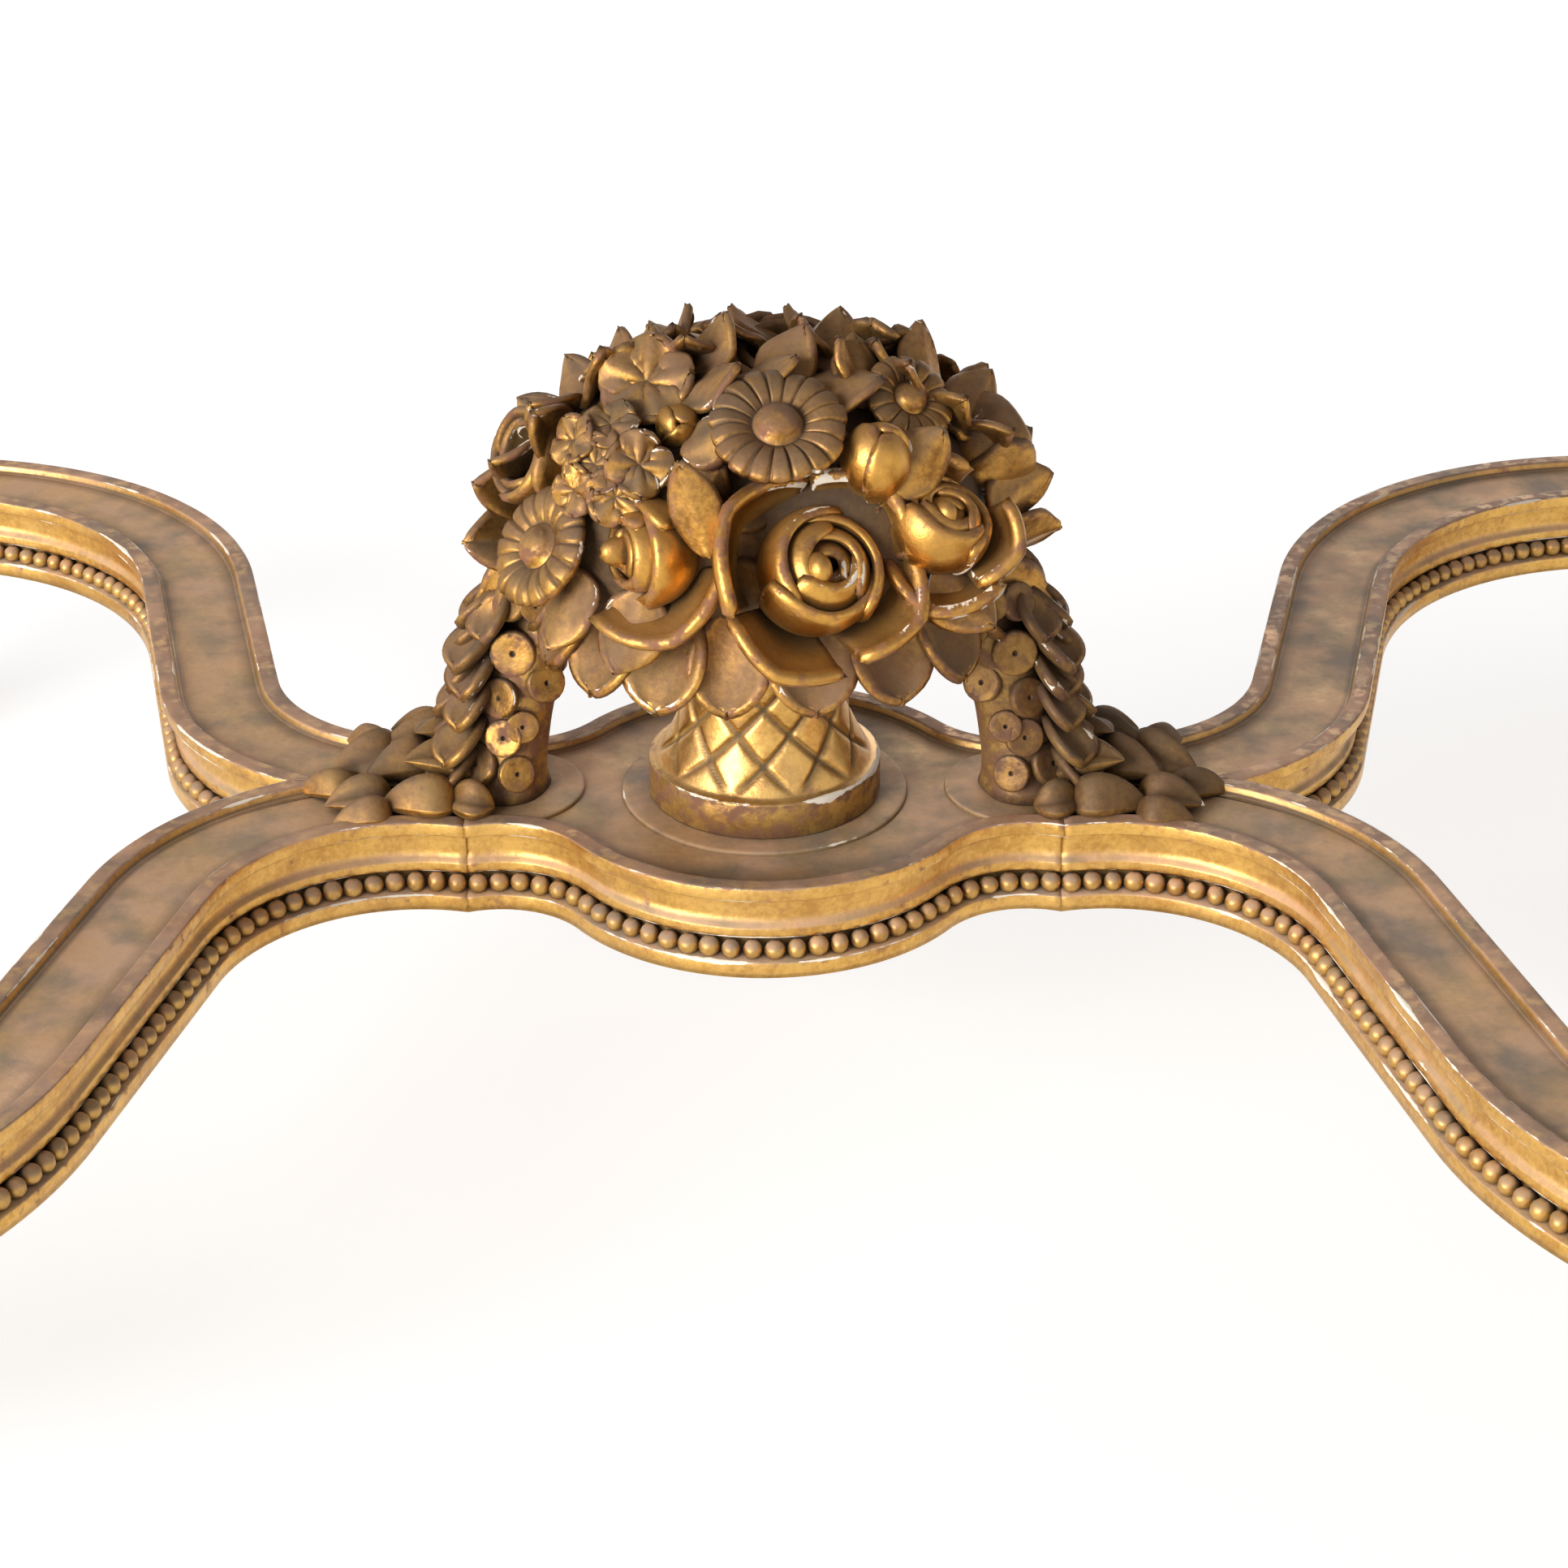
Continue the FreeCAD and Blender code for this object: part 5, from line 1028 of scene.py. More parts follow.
# Leaves between the flowers of the front half: azimuth, elevation, heading, lift, length, width and share
LEAVES = (
    (-15, 12, -17, 8, 40, 18, 0.97), (-57, 57, 60, 16, 32, 22, 0.93), (-30, 70, 80, 18, 30, 20, 0.94),
    (-70, 66, -10, 30, 28, 20, 0.93), (-110, 55, -30, 40, 26, 18, 0.93), (30, 68, 120, 10, 34, 28, 0.96),
    (0, 72, 40, 20, 30, 24, 0.93), (70, 66, 60, 20, 32, 20, 0.94), (60, 50, 20, 15, 30, 22, 0.94),
    (78, 34, 40, 12, 44, 24, 0.95), (82, 28, 80, 20, 36, 24, 0.95), (84, 18, 100, 20, 34, 22, 0.95),
    (92, 22, 60, 30, 34, 24, 0.93), (80, 6, 80, 28, 34, 26, 0.93), (84, -8, 60, 35, 36, 28, 0.92),
    (80, -14, 100, 45, 40, 28, 0.92), (43, 24, 50, 12, 32, 24, 0.95), (-84, 39, -50, 14, 36, 20, 0.94),
    (-86, 33, -79, 18, 34, 20, 0.94), (-84, 27, -104, 20, 34, 20, 0.94), (-78, 44, -30, 14, 34, 20, 0.94),
    (-80, -14, -90, 45, 34, 28, 0.92), (-34, 40, 60, 18, 26, 20, 0.90), (-58, 0, 175, 22, 34, 28, 0.92),
    (-36, -2, 190, 25, 34, 28, 0.90), (52, 2, 150, 25, 34, 28, 0.92),
)
# Rows of leaves that fill the heap between the flowers: elevation and count, and how deep they start
DEEP_LEAVES, DEEP_SHARE = ((-2, 11), (18, 11), (38, 10), (58, 7)), 0.70


class TABLE_OT_carve_leaves(bpy.types.Operator):
    """Carve the leaves between the flowers and the broad petals under them"""
    bl_idname = "centre_table.carve_leaves"
    bl_label = "Carve leaves"

    def execute(self, context):
        sizes = context.scene.table_flowers
        rng = np.random.default_rng(LEAF_SEED)
        outline = {"widest": 0.9, "point": 0.72}
        blades = [heap_leaf(sizes, *row, **outline, cup=0.10, fold=0.26, bend=0.12, wave=0.05)
                  for row in LEAVES]
        for elevation, count in DEEP_LEAVES:
            for i in range(count):
                azimuth = -90 + 180 * (i + 0.5) / count + rng.uniform(-6, 6)
                level = elevation + rng.uniform(-6, 6)
                heading, lift = rng.uniform(-150, 150), rng.uniform(5, 20)
                length, width = rng.uniform(24, 30), rng.uniform(16, 22)
                blades.append(heap_leaf(sizes, azimuth, level, heading, lift, length, width, DEEP_SHARE,
                                        **outline, cup=0.08, fold=0.24, bend=0.06, wave=0.04))
        front = sunk(join(blades), sizes)
        piece("carved_bouquet_leaves", join([front, half_turn(front)]), "bouquet_leaves", "dusty_gilding")
        skirt = []
        for azimuth, length, width, drop in SKIRT:
            way = np.array((np.sin(np.radians(azimuth)), -np.cos(np.radians(azimuth)), 0))
            spring = at_height(way * SPRING_OVAL + (0, 0, SPRING_HEIGHT))
            tip = at_height(way * TIP_OVAL + (0, 0, drop))
            blade = leaf(length * MM, width * MM, widest=1.15, point=0.60, cup=0.20, fold=0.05, bend=0.14)
            rows = leaf_rows(tip - spring, way + (0, 0, 0.5))
            # Painted shade on the petal's underside
            skirt.append(placed(shell(blade, 1.2 * sizes.leaf, 0.0, 0.7), spring, rows))
        skirt = join(skirt)
        piece("carved_skirt_petals", join([skirt, half_turn(skirt)]), "skirt_petals", "dusty_gilding")
        return {"FINISHED"}


def stem_radius(sizes, rise):
    """Radius of a garland's stem at a share of its height."""
    return sizes.foot_radius + (sizes.top_radius - sizes.foot_radius) * rise


def carve_garland(sizes):
    """Stem of the right garland: a round bar along a leaning line, slightly lumpy, with a spread foot."""
    sink, spread, hook = 2 * MM, 3 * MM, 10 * MM
    foot = np.array((sizes.garland_foot, 0, STRETCHER_TOP - sink))
    top = np.array((sizes.garland_top, 0, STRETCHER_TOP + sizes.garland_rise))
    rise = np.linspace(0, 1, STEM_ROWS)[:, None]
    turn = circle(STEM_SIDES)
    radius = stem_radius(sizes, rise) + spread * np.exp(-rise / 0.06)
    radius = radius * (1 + 0.03 * np.sin(3 * turn + 9 * rise) + 0.02 * np.sin(5 * turn - 14 * rise))
    middle = foot + (top - foot) * rise - np.array((hook, 0, 0)) * ease((rise - 0.5) / 0.5)
    rows = turned(radius, middle[:, 2:], turn)
    rows[..., 0] += middle[:, :1]
    marks = np.zeros_like(rows)
    # Grime all along the stem, and painted shade at its foot where it meets the stretcher
    marks[..., GRIME_AND_SHADE] = 0.2 + 0.7 * np.exp(-rise / 0.05)
    marks[..., RUB] = 0.6
    return rings(rows, marks)


# Flat round scales on the front of the right garland: turn in degrees about the stem, height and radius in mm
COINS = ((-128, 78, 6.6), (-94, 90, 7.4), (-50, 90, 8.8), (-72, 68, 10.5), (-130, 53, 8.8), (-64, 47, 9.2),
         (-104, 34, 7.6), (-80, 29, 8.4), (-106, 12, 8.6), (-44, 14, 10.4))
# Cupped scales on its outer side: tiers as shares of its height, and columns in degrees about the stem
TIERS, COLUMNS = np.linspace(0.88, 0.10, 6), (-36, -4, 28)
# Thickness of a cupped scale, how far its root is sunk into the stem, and how far a flat one stands off it
CUPPED_SCALE, ROOT_SUNK, COIN_PROUD = 4.4 * MM, 2 * MM, 1.2 * MM


def garland_scales(sizes, rng):
    """Scales of the right garland: flat round ones front and back, and cupped ones on its outer side."""
    foot = np.array((sizes.garland_foot, 0, STRETCHER_TOP))
    lean = np.array((sizes.garland_top, 0, STRETCHER_TOP + sizes.garland_rise)) - foot
    parts = []
    for side in (1, -1):
        for turn, height, coin in COINS:
            rise = height * MM / sizes.garland_rise
            around = np.radians(turn * side)
            out = np.array((np.cos(around), np.sin(around), 0))
            facing = out + (rng.uniform(-0.2, 0.2), 0, rng.uniform(0.05, 0.45))
            scale = carve_scale(coin * MM * rng.uniform(0.94, 1.04, 2), sizes.scale_thick)
            place = foot + lean * rise + out * (stem_radius(sizes, rise) + COIN_PROUD)
            parts.append(placed(scale, place, axes(facing, rng.uniform(-2, 2))))
    for tier, rise in enumerate(TIERS):
        for column in COLUMNS:
            around = np.radians(column + 10 * (tier % 2) + rng.uniform(-8, 8))
            out = np.array((np.cos(around), np.sin(around), 0))
            blade = leaf(rng.uniform(22, 27) * MM, rng.uniform(17, 22) * MM, widest=1.25, point=0.5, cup=0.34,
                         bend=0.30)
            spring = foot + lean * rise + out * (stem_radius(sizes, rise) - ROOT_SUNK)
            spring = spring + (0, 0, rng.uniform(8, 12) * MM)
            rows = leaf_rows(rng.uniform(0.35, 0.6) * out - (0, 0, 1), out + (0, 0, 0.45))
            # Painted shade on the inner face of each cupped scale
            parts.append(placed(shell(blade, CUPPED_SCALE, 0.0, 0.8), spring, rows))
    return join(parts)


# Thick leaves of the right spray: middle in millimetres above the stretcher, heading in degrees from the
# table's length, rise in degrees, length, width and thickness
SPRAY = (
    (172, 8, 6, -35, 8, 37, 23, 24), (158, 3, 8, -50, 14, 35, 23, 24), (147, 18, 12, -30, 22, 38, 23, 24),
    (147, -22, 4, -16, 6, 36, 27, 22), (173, -20, 3, -22, 8, 30, 21, 18), (171, -31, 1, -26, 2, 27, 18, 15),
    (126, -27, 4, 10, 0, 23, 19, 18), (136, 12, 20, -50, 30, 37, 25, 16), (150, 37, 5, 20, 10, 36, 25, 22),
    (172, 30, 4, 28, 4, 33, 23, 18), (130, 32, 7, 40, 14, 29, 22, 20), (188, -4, 1, -5, -4, 29, 21, 15),
    (138, -9, 15, -35, 30, 34, 23, 20),
)
# How far a spray leaf's ridge lies beside its middle, as a share of the half width
RIDGE = 0.22


def carve_leaf(length, width, thick, ridge):
    """Thick leaf along its second axis, with a ridge to one side of its middle and a hollow to the other.

    The half width is a product of powers of the way from each end, and pointed at both. The section is a tent
    with its ridge off the middle over a rounded underside, and the whole droops to both ends.
    """
    way = (1 - np.cos(np.linspace(0.05, 0.975, SPRAY_ROWS) * np.pi)) / 2
    hump = way ** 0.62 * (1 - way) ** 0.9
    hump = (hump / hump.max())[:, None]
    way = way[:, None]
    turn = circle(SPRAY_SIDES)
    across, up = np.cos(turn), np.sin(turn)
    from_ridge = np.abs(across - ridge) / (1 - ridge * np.sign(across - ridge))
    hollow = np.exp(-((across + np.sign(ridge) * 0.42) / 0.24) ** 2)
    lift = np.where(up > 0, 1.2 * (1 - from_ridge ** 1.25) - 0.36 * hollow, 0.75 * up)
    sway = 0.10 * width * np.sin(5 * way)
    droop = 0.5 * length * (way - 0.4) ** 2
    rows = np.stack((hump * across * width / 2 + sway, (way - 0.5) * length + 0 * turn,
                     hump * lift * thick / 2 - droop), -1)
    marks = np.zeros_like(rows)
    crest = np.exp(-((across - ridge) / 0.10) ** 2) * (up > 0)
    marks[..., WEAR] = np.maximum(0.7 * crest, np.exp(-((1 - way) / 0.06) ** 2))
    # Painted shade on the underside and in the hollow beside the ridge
    marks[..., GRIME_AND_SHADE] = np.maximum(np.clip(-1.1 * up, 0, 1), 0.45 * hollow * (up > 0))
    return rings(rows, marks)


def leaf_spray():
    """Spray of thick leaves that lies on the stretcher at the right garland's foot."""
    parts = []
    for i, (x, y, z, heading, rise, length, width, thick) in enumerate(SPRAY):
        heading, rise = np.radians((heading, rise))
        way = np.array((np.cos(heading) * np.cos(rise), np.sin(heading) * np.cos(rise), np.sin(rise)))
        blade = carve_leaf(length * MM, width * MM, thick * MM, RIDGE if i % 2 else -RIDGE)
        parts.append(placed(blade, at_height((x, y, z)), leaf_rows(way, (0, 0, 1))))
    return join(parts)


class TABLE_OT_carve_garlands(bpy.types.Operator):
    """Carve the garlands at both ends of the basket, their scales and the sprays at their feet"""
    bl_idname = "centre_table.carve_garlands"
    bl_label = "Carve garlands"

    def execute(self, context):
        sizes, stretcher = context.scene.table_basket, context.scene.table_stretcher
        rng = np.random.default_rng(SCALE_SEED)
        stem, scales, spray = carve_garland(sizes), garland_scales(sizes, rng), leaf_spray()
        foot_pad = pad(stretcher, stretcher.garland_pad, sizes.garland_foot)
        # The right garland and spray are darker than the left ones: dirtier, and with the flowers' shadow
        # painted on them
        for side, sx, darkening in (("right", 1, 0.6), ("left", -1, 0.0)):
            bar = join([shaded_and_soiled(stem, 0.3 + darkening / 2), foot_pad])
            piece("carved_garland_" + side, mirrored(bar, sx, 1), "garland_" + side)
            for name, node, carving in (
                    ("carved_scales_", "garland_scales_", shaded_and_soiled(scales, 0.22 + 0.5 * darkening)),
                    ("carved_spray_", "leaf_spray_", shaded_and_soiled(spray, darkening))):
                piece(name + side, mirrored(carving, sx, 1), node + side, "dusty_gilding")
        return {"FINISHED"}


NOISE, MATH, RANGE, MIX = "ShaderNodeTexNoise", "ShaderNodeMath", "ShaderNodeMapRange", "ShaderNodeMix"
# Sockets of a mix by number: its share, then two values, two places and two tones
SHARE, VALUE_A, VALUE_B, PLACE_A, PLACE_B, TONE_A, TONE_B = 0, 2, 3, 4, 5, 6, 7
# Settings of a mix of places and of tones, each with its output, and of a range that starts and ends level
PLACES = {"data_type": "VECTOR", "out": 1}
TONES = {"data_type": "RGBA", "out": 2}
SMOOTH = {"interpolation_type": "SMOOTHSTEP"}


def add(tree, kind, inputs=(), out=0, **settings):
    """Output, if any, of a new node with its settings, and its inputs set to values or linked to sockets."""
    node = tree.nodes.new(kind)
    for name, value in settings.items():
        setattr(node, name, value)
    for key, value in dict(inputs).items():
        if isinstance(value, bpy.types.NodeSocket):
            tree.links.new(value, node.inputs[key])
        else:
            node.inputs[key].default_value = value
    return node.outputs[out] if node.outputs else None


def start_material(name):
    """Empty node material: its tree, Object coordinates and the inputs of its shader."""
    made = bpy.data.materials.new(name)
    made.use_nodes = True
    tree = made.node_tree
    tree.nodes.clear()
    spot = add(tree, "ShaderNodeTexCoord", out="Object")
    shader = add(tree, "ShaderNodeBsdfPrincipled")
    add(tree, "ShaderNodeOutputMaterial", {"Surface": shader})
    return tree, spot, shader.node.inputs


def rgba(values):
    """Colour with full alpha."""
    return (*values, 1.0)


# Unevenness of the gilding: grain in millimetres, detail and roughness of each layer. The leaf's speckle and
# the ground's pores are finer on the real table and are drawn this coarse to show.
GILDING_GRAINS = {
    "leaf": (26, 4.0, 0.55), "speckle": (3, 6.0, 0.70), "rub": (9, 5.0, 0.62), "chip": (4, 4.0, 0.60),
    "edge": (34, 3.0, 0.50), "cloud": (38, 5.0, 0.60), "ground": (5, 4.0, 0.55), "pores": (1.2, 3.0, 0.55),
}
# Colours of the leaf and of the dust on the flowers
FLOWER_GOLDS, FLOWER_DUSTS = ("old_flower_gold", "flower_gold"), ("flower_dust", "stale_flower_dust")
# Gilded finishes and what sets each apart from the plain one on the stretcher
GILDINGS = {
    "water_gilding": {},
    "bright_gilding": {"settled": 0.4},
    "dusty_gilding": {"golds": FLOWER_GOLDS, "dusts": FLOWER_DUSTS, "film": 0.15, "gap": 16, "shade": 0.62,
                      "sound": 2.72},
    "rubbed_gilding": {"golds": ("old_gold", "flower_gold"), "dusts": FLOWER_DUSTS, "film": 0.08,
                       "shade": 0.52, "sound": 2.72, "settled": 0.5},
    "water_gilding_frame": {"golds": ("frame_gold", "old_gold"), "carved": False, "film": 0.12},
    # Dark leaf on the hidden core among the flowers: painted shade between them
    "water_gilding_deep": {"golds": FLOWER_GOLDS, "dusts": FLOWER_DUSTS, "carved": False, "deep": 0.95},
}


def water_gilding(colours, name, golds=("old_gold", "gold"), dusts=("dust", "stale_dust"), carved=True,
                  deep=0.0, film=0.05, gap=14, shade=0.54, sound=2.52, settled=0.95):
    """Gold leaf burnished over red bole and gesso, aged.

    To the eye: warm metal on upright faces, dull dust on faces that look up, brown dirt with painted shade in
    the hollows, red clay where the leaf is rubbed and broken white lines along chipped edges. Carved pieces
    carry marks for these, and on the others the finish finds edges and hollows by itself. Deep is the least
    grime and painted shade, film the dust on upright faces, gap the hollows' width in millimetres, shade the
    openness at which dirt and painted shade start, sound what an edge bears before it chips, and settled the
    dust on faces that look up.
    """
    tree, spot, shader = start_material(name)
    golds, dusts = [[rgba(getattr(colours, key)) for key in keys] for keys in (golds, dusts)]
    grain = {label: add(tree, NOISE, {"Vector": spot, "Scale": 1 / (width * MM), "Detail": detail,
                                      "Roughness": rough})
             for label, (width, detail, rough) in GILDING_GRAINS.items()}
    normal = add(tree, "ShaderNodeNewGeometry", out="Normal")
    up = add(tree, "ShaderNodeSeparateXYZ", {0: normal}, out="Z")
    # Openness round each point: where it is low, the hollow takes painted shade as well as dirt
    hollow = add(tree, "ShaderNodeAmbientOcclusion", {"Distance": gap * MM}, out="AO", samples=4)
    hollow = add(tree, RANGE, {"Value": hollow, "From Min": shade, "From Max": 0.08}, **SMOOTH)
    if carved:
        wear, grime, rub = [add(tree, "ShaderNodeAttribute", out="Fac", attribute_name=label)
                            for label in MARKS]
    else:
        soft = add(tree, "ShaderNodeBevel", {"Radius": 1.1 * MM}, samples=4)
        match = add(tree, "ShaderNodeVectorMath", {0: soft, 1: normal}, out="Value", operation="DOT_PRODUCT")
        wear = add(tree, RANGE, {"Value": match, "From Min": 0.995, "From Max": 0.90})
        # Grime with painted shade in the hollows, at half strength
        grime = add(tree, MATH, {0: hollow, 1: 0.5}, operation="MULTIPLY")
        rub = add(tree, MATH, {0: wear, 1: 0.5}, operation="MULTIPLY")
    # Grime at least the painted shade of the hollows and the given least
    for least in (hollow, deep):
        grime = add(tree, MATH, {0: grime, 1: least}, operation="MAXIMUM")
    # Leaf: burnished and dull patches down to a fine speckle
    patch = add(tree, MIX, {SHARE: 0.45, VALUE_A: grain["leaf"], VALUE_B: grain["speckle"]})
    patch = add(tree, RANGE, {"Value": patch, "From Min": 0.36, "From Max": 0.62}, **SMOOTH)
    tone = add(tree, MIX, {SHARE: patch, TONE_A: golds[0], TONE_B: golds[1]}, **TONES)
    # Red clay where the leaf is rubbed through
    thin = add(tree, MATH, {0: rub, 1: 0.34, 2: grain["rub"]}, operation="MULTIPLY_ADD")
    thin = add(tree, MATH, {0: wear, 1: 0.08, 2: thin}, operation="MULTIPLY_ADD")
    thin = add(tree, RANGE, {"Value": thin, "From Min": 0.57, "From Max": 0.80, "To Max": 0.88}, **SMOOTH)
    tone = add(tree, MIX, {SHARE: thin, TONE_A: tone, TONE_B: rgba(colours.bole)}, **TONES)
    # Dust: thick on faces that look up, a patchy film on the others, less where hands rub
    veil = add(tree, RANGE, {"Value": grain["cloud"], "From Min": 0.38, "From Max": 0.60, "To Max": 2 * film})
    lying = add(tree, RANGE, {"Value": up, "From Min": -0.05, "From Max": 0.80, "To Min": veil,
                              "To Max": settled}, **SMOOTH)
    settle = add(tree, RANGE, {"Value": grain["cloud"], "From Min": 0.30, "From Max": 0.62, "To Min": 0.55})
    settle = add(tree, MATH, {0: settle, 1: lying}, operation="MULTIPLY")
    kept = add(tree, RANGE, {"Value": rub, "To Min": 1.0, "To Max": 0.7})
    settle = add(tree, MATH, {0: settle, 1: kept}, operation="MULTIPLY")
    dust = add(tree, RANGE, {"Value": grain["leaf"], "From Min": 0.40, "From Max": 0.62})
    dust = add(tree, MIX, {SHARE: dust, TONE_A: dusts[0], TONE_B: dusts[1]}, **TONES)
    tone = add(tree, MIX, {SHARE: settle, TONE_A: tone, TONE_B: dust}, **TONES)
    # Dirt and painted shade in the hollows
    soil = add(tree, RANGE, {"Value": grain["cloud"], "From Min": 0.25, "From Max": 0.70, "To Min": 1.0,
                             "To Max": 0.75})
    soil = add(tree, MATH, {0: grime, 1: soil}, operation="MULTIPLY", use_clamp=True)
    tone = add(tree, MIX, {SHARE: soil, TONE_A: tone, TONE_B: rgba(colours.grime)}, **TONES)
    # Chips: wear, a slow noise that picks the stretches and a fine one that frays them
    chip = add(tree, MATH, {0: grain["edge"], 1: 2.4, 2: wear}, operation="MULTIPLY_ADD")
    chip = add(tree, MATH, {0: grain["chip"], 1: 0.6, 2: chip}, operation="MULTIPLY_ADD")
    chip = add(tree, RANGE, {"Value": chip, "From Min": sound, "From Max": sound + 0.05})
    tone = add(tree, MIX, {SHARE: chip, TONE_A: tone, TONE_B: rgba(colours.gesso)}, **TONES)
    tree.links.new(tone, shader["Base Color"])
    # Bare leaf is metal, and what covers it is dull
    cover = thin
    for layer in (chip, soil, settle):
        cover = add(tree, MATH, {0: cover, 1: layer}, operation="MAXIMUM")
    for label, bare, covered in (("Metallic", 1.0, 0.0), ("Roughness", 0.34, 0.78)):
        level = add(tree, RANGE, {"Value": cover, "To Min": bare, "To Max": covered}, **SMOOTH)
        tree.links.new(level, shader[label])
    relief = add(tree, MIX, {SHARE: 0.25, VALUE_A: grain["ground"], VALUE_B: grain["pores"]})
    relief = add(tree, MATH, {0: chip, 1: -0.5, 2: relief}, operation="MULTIPLY_ADD")
    bump = add(tree, "ShaderNodeBump", {"Strength": 0.5, "Distance": 0.7 * MM, "Height": relief})
    tree.links.new(bump, shader["Normal"])


def polished_marble(colours):
    """Polished white marble: soft grey clouds, thin veins that come and go one way, and a sharp gloss."""
    tree, spot, shader = start_material("polished_marble")
    warp = add(tree, NOISE, {"Vector": spot, "Scale": 1 / (160 * MM), "Detail": 5.0}, out="Color")
    moved = add(tree, MIX, {SHARE: 0.14, PLACE_A: spot, PLACE_B: warp}, **PLACES)
    drawn = add(tree, "ShaderNodeMapping", {"Vector": moved, "Rotation": (0, 0, 0.6), "Scale": (2.8, 1, 1)},
                vector_type="TEXTURE")
    ridge = add(tree, NOISE, {"Vector": drawn, "Scale": 1 / (130 * MM), "Detail": 5.0, "Roughness": 0.5})
    line = add(tree, MATH, {0: ridge, 1: 0.5}, operation="SUBTRACT")
    line = add(tree, MATH, {0: line}, operation="ABSOLUTE")
    depth = add(tree, NOISE, {"Vector": spot, "Scale": 1 / (90 * MM), "Detail": 3.0})
    depth = add(tree, RANGE, {"Value": depth, "From Min": 0.38, "From Max": 0.66, "To Max": 0.8})
    vein = add(tree, RANGE, {"Value": line, "From Min": 0.0, "From Max": 0.022, "To Min": depth,
                             "To Max": 0.0})
    cloud = add(tree, NOISE, {"Vector": moved, "Scale": 1 / (220 * MM), "Detail": 3.0})
    cloud = add(tree, RANGE, {"Value": cloud, "From Min": 0.45, "From Max": 0.75, "To Max": 0.35})
    cover = add(tree, MATH, {0: vein, 1: cloud}, operation="MAXIMUM")
    tone = add(tree, MIX, {SHARE: cover, TONE_A: rgba(colours.marble), TONE_B: rgba(colours.vein)}, **TONES)
    tree.links.new(tone, shader["Base Color"])
    gloss = add(tree, RANGE, {"Value": vein, "To Min": 0.14, "To Max": 0.24})
    tree.links.new(gloss, shader["Roughness"])


def old_oak(colours):
    """Bare oak, sawn and darkened: long grain, no shine, and pores that are drawn coarse enough to show."""
    tree, spot, shader = start_material("old_oak")
    drawn = add(tree, "ShaderNodeMapping", {"Vector": spot, "Scale": (0.12, 1.0, 1.0)})
    grain = add(tree, NOISE, {"Vector": drawn, "Scale": 1 / (5 * MM), "Detail": 6.0})
    pores = add(tree, NOISE, {"Vector": drawn, "Scale": 1 / (1.2 * MM), "Detail": 2.0})
    dark = [value * 0.42 for value in colours.oak]
    part = add(tree, RANGE, {"Value": grain, "From Min": 0.35, "From Max": 0.68})
    tone = add(tree, MIX, {SHARE: part, TONE_A: rgba(dark), TONE_B: rgba(colours.oak)}, **TONES)
    tree.links.new(tone, shader["Base Color"])
    rough = add(tree, RANGE, {"Value": pores, "To Min": 0.62, "To Max": 0.85})
    tree.links.new(rough, shader["Roughness"])
    bump = add(tree, "ShaderNodeBump", {"Strength": 0.4, "Distance": 0.4 * MM, "Height": pores})
    tree.links.new(bump, shader["Normal"])


def dull_steel(colours):
    """Old steel of wood screws: grey metal with darker, rougher patches."""
    tree, spot, shader = start_material("dull_steel")
    patch = add(tree, NOISE, {"Vector": spot, "Scale": 1 / (2.5 * MM), "Detail": 4.0})
    dark = [value * 0.45 for value in colours.steel]
    tone = add(tree, MIX, {SHARE: patch, TONE_A: rgba(dark), TONE_B: rgba(colours.steel)}, **TONES)
    tree.links.new(tone, shader["Base Color"])
    rough = add(tree, RANGE, {"Value": patch, "To Min": 0.6, "To Max": 0.35})
    tree.links.new(rough, shader["Roughness"])
    shader["Metallic"].default_value = 1.0


def material(name):
    """Finish by name, mixed on its first use."""
    if name not in bpy.data.materials:
        colours = bpy.context.scene.table_finishes
        if name in GILDINGS:
            water_gilding(colours, name, **GILDINGS[name])
        else:
            {"polished_marble": polished_marble, "old_oak": old_oak, "dull_steel": dull_steel}[name](colours)
    return bpy.data.materials[name]


class TABLE_OT_finish_frame(bpy.types.Operator):
    """Give the legs, the apron, the top and the hidden pieces their finishes"""
    bl_idname = "centre_table.finish_frame"
    bl_label = "Finish frame"

    def execute(self, context):
        finishes = {"gilded_wood": "water_gilding_frame", "marble": "polished_marble", "oak": "old_oak",
                    "steel": "dull_steel"}
        slots = {part["node"]: part["material_slot"] for part in frame["record"]["subparts"]}
        for node, thing in frame["nodes"].items():
            # The hidden core among the flowers takes painted shade
            finish = "water_gilding_deep" if node == "bouquet_core" else finishes[slots[node]]
            for slot in thing.material_slots:
                slot.material = material(finish)
        return {"FINISHED"}


def white_to_eye(tree):
    """One for rays from the eye, from a mirror or through glass, and nought for rays that only light."""
    rays = add(tree, "ShaderNodeLightPath").node.outputs
    seen = add(tree, MATH, {0: rays["Is Camera Ray"], 1: rays["Is Glossy Ray"]}, operation="MAXIMUM")
    return add(tree, MATH, {0: seen, 1: rays["Is Transmission Ray"]}, operation="MAXIMUM")


WHITE = (1, 1, 1, 1)
# Grey of the pale floor under the lamps, its own glow on the table, and its glow to the eye near and far
FLOOR_GREY, FLOOR_GLOW, FLOOR_NEAR, FLOOR_FAR = (0.42, 0.42, 0.42, 1), 0.22, 0.66, 0.88
# Distances in metres from the middle between which the floor goes from the near glow to the far one
GLOW_START, GLOW_END = 1.2, 3.6
# Place and width of each lamp in metres, and the point that all of them face
LAMPS = {"key": ((-1.8, -1.9, 0.95), 1.6), "fill": ((2.4, -2.2, 0.9), 2.0), "back": ((0.6, 2.9, 1.3), 2.0),
         "top": ((0, 0, 2.4), 0.8)}
LAMP_AIM = np.array((0, 0, 0.24))
SENSOR_WIDTH = 36.0


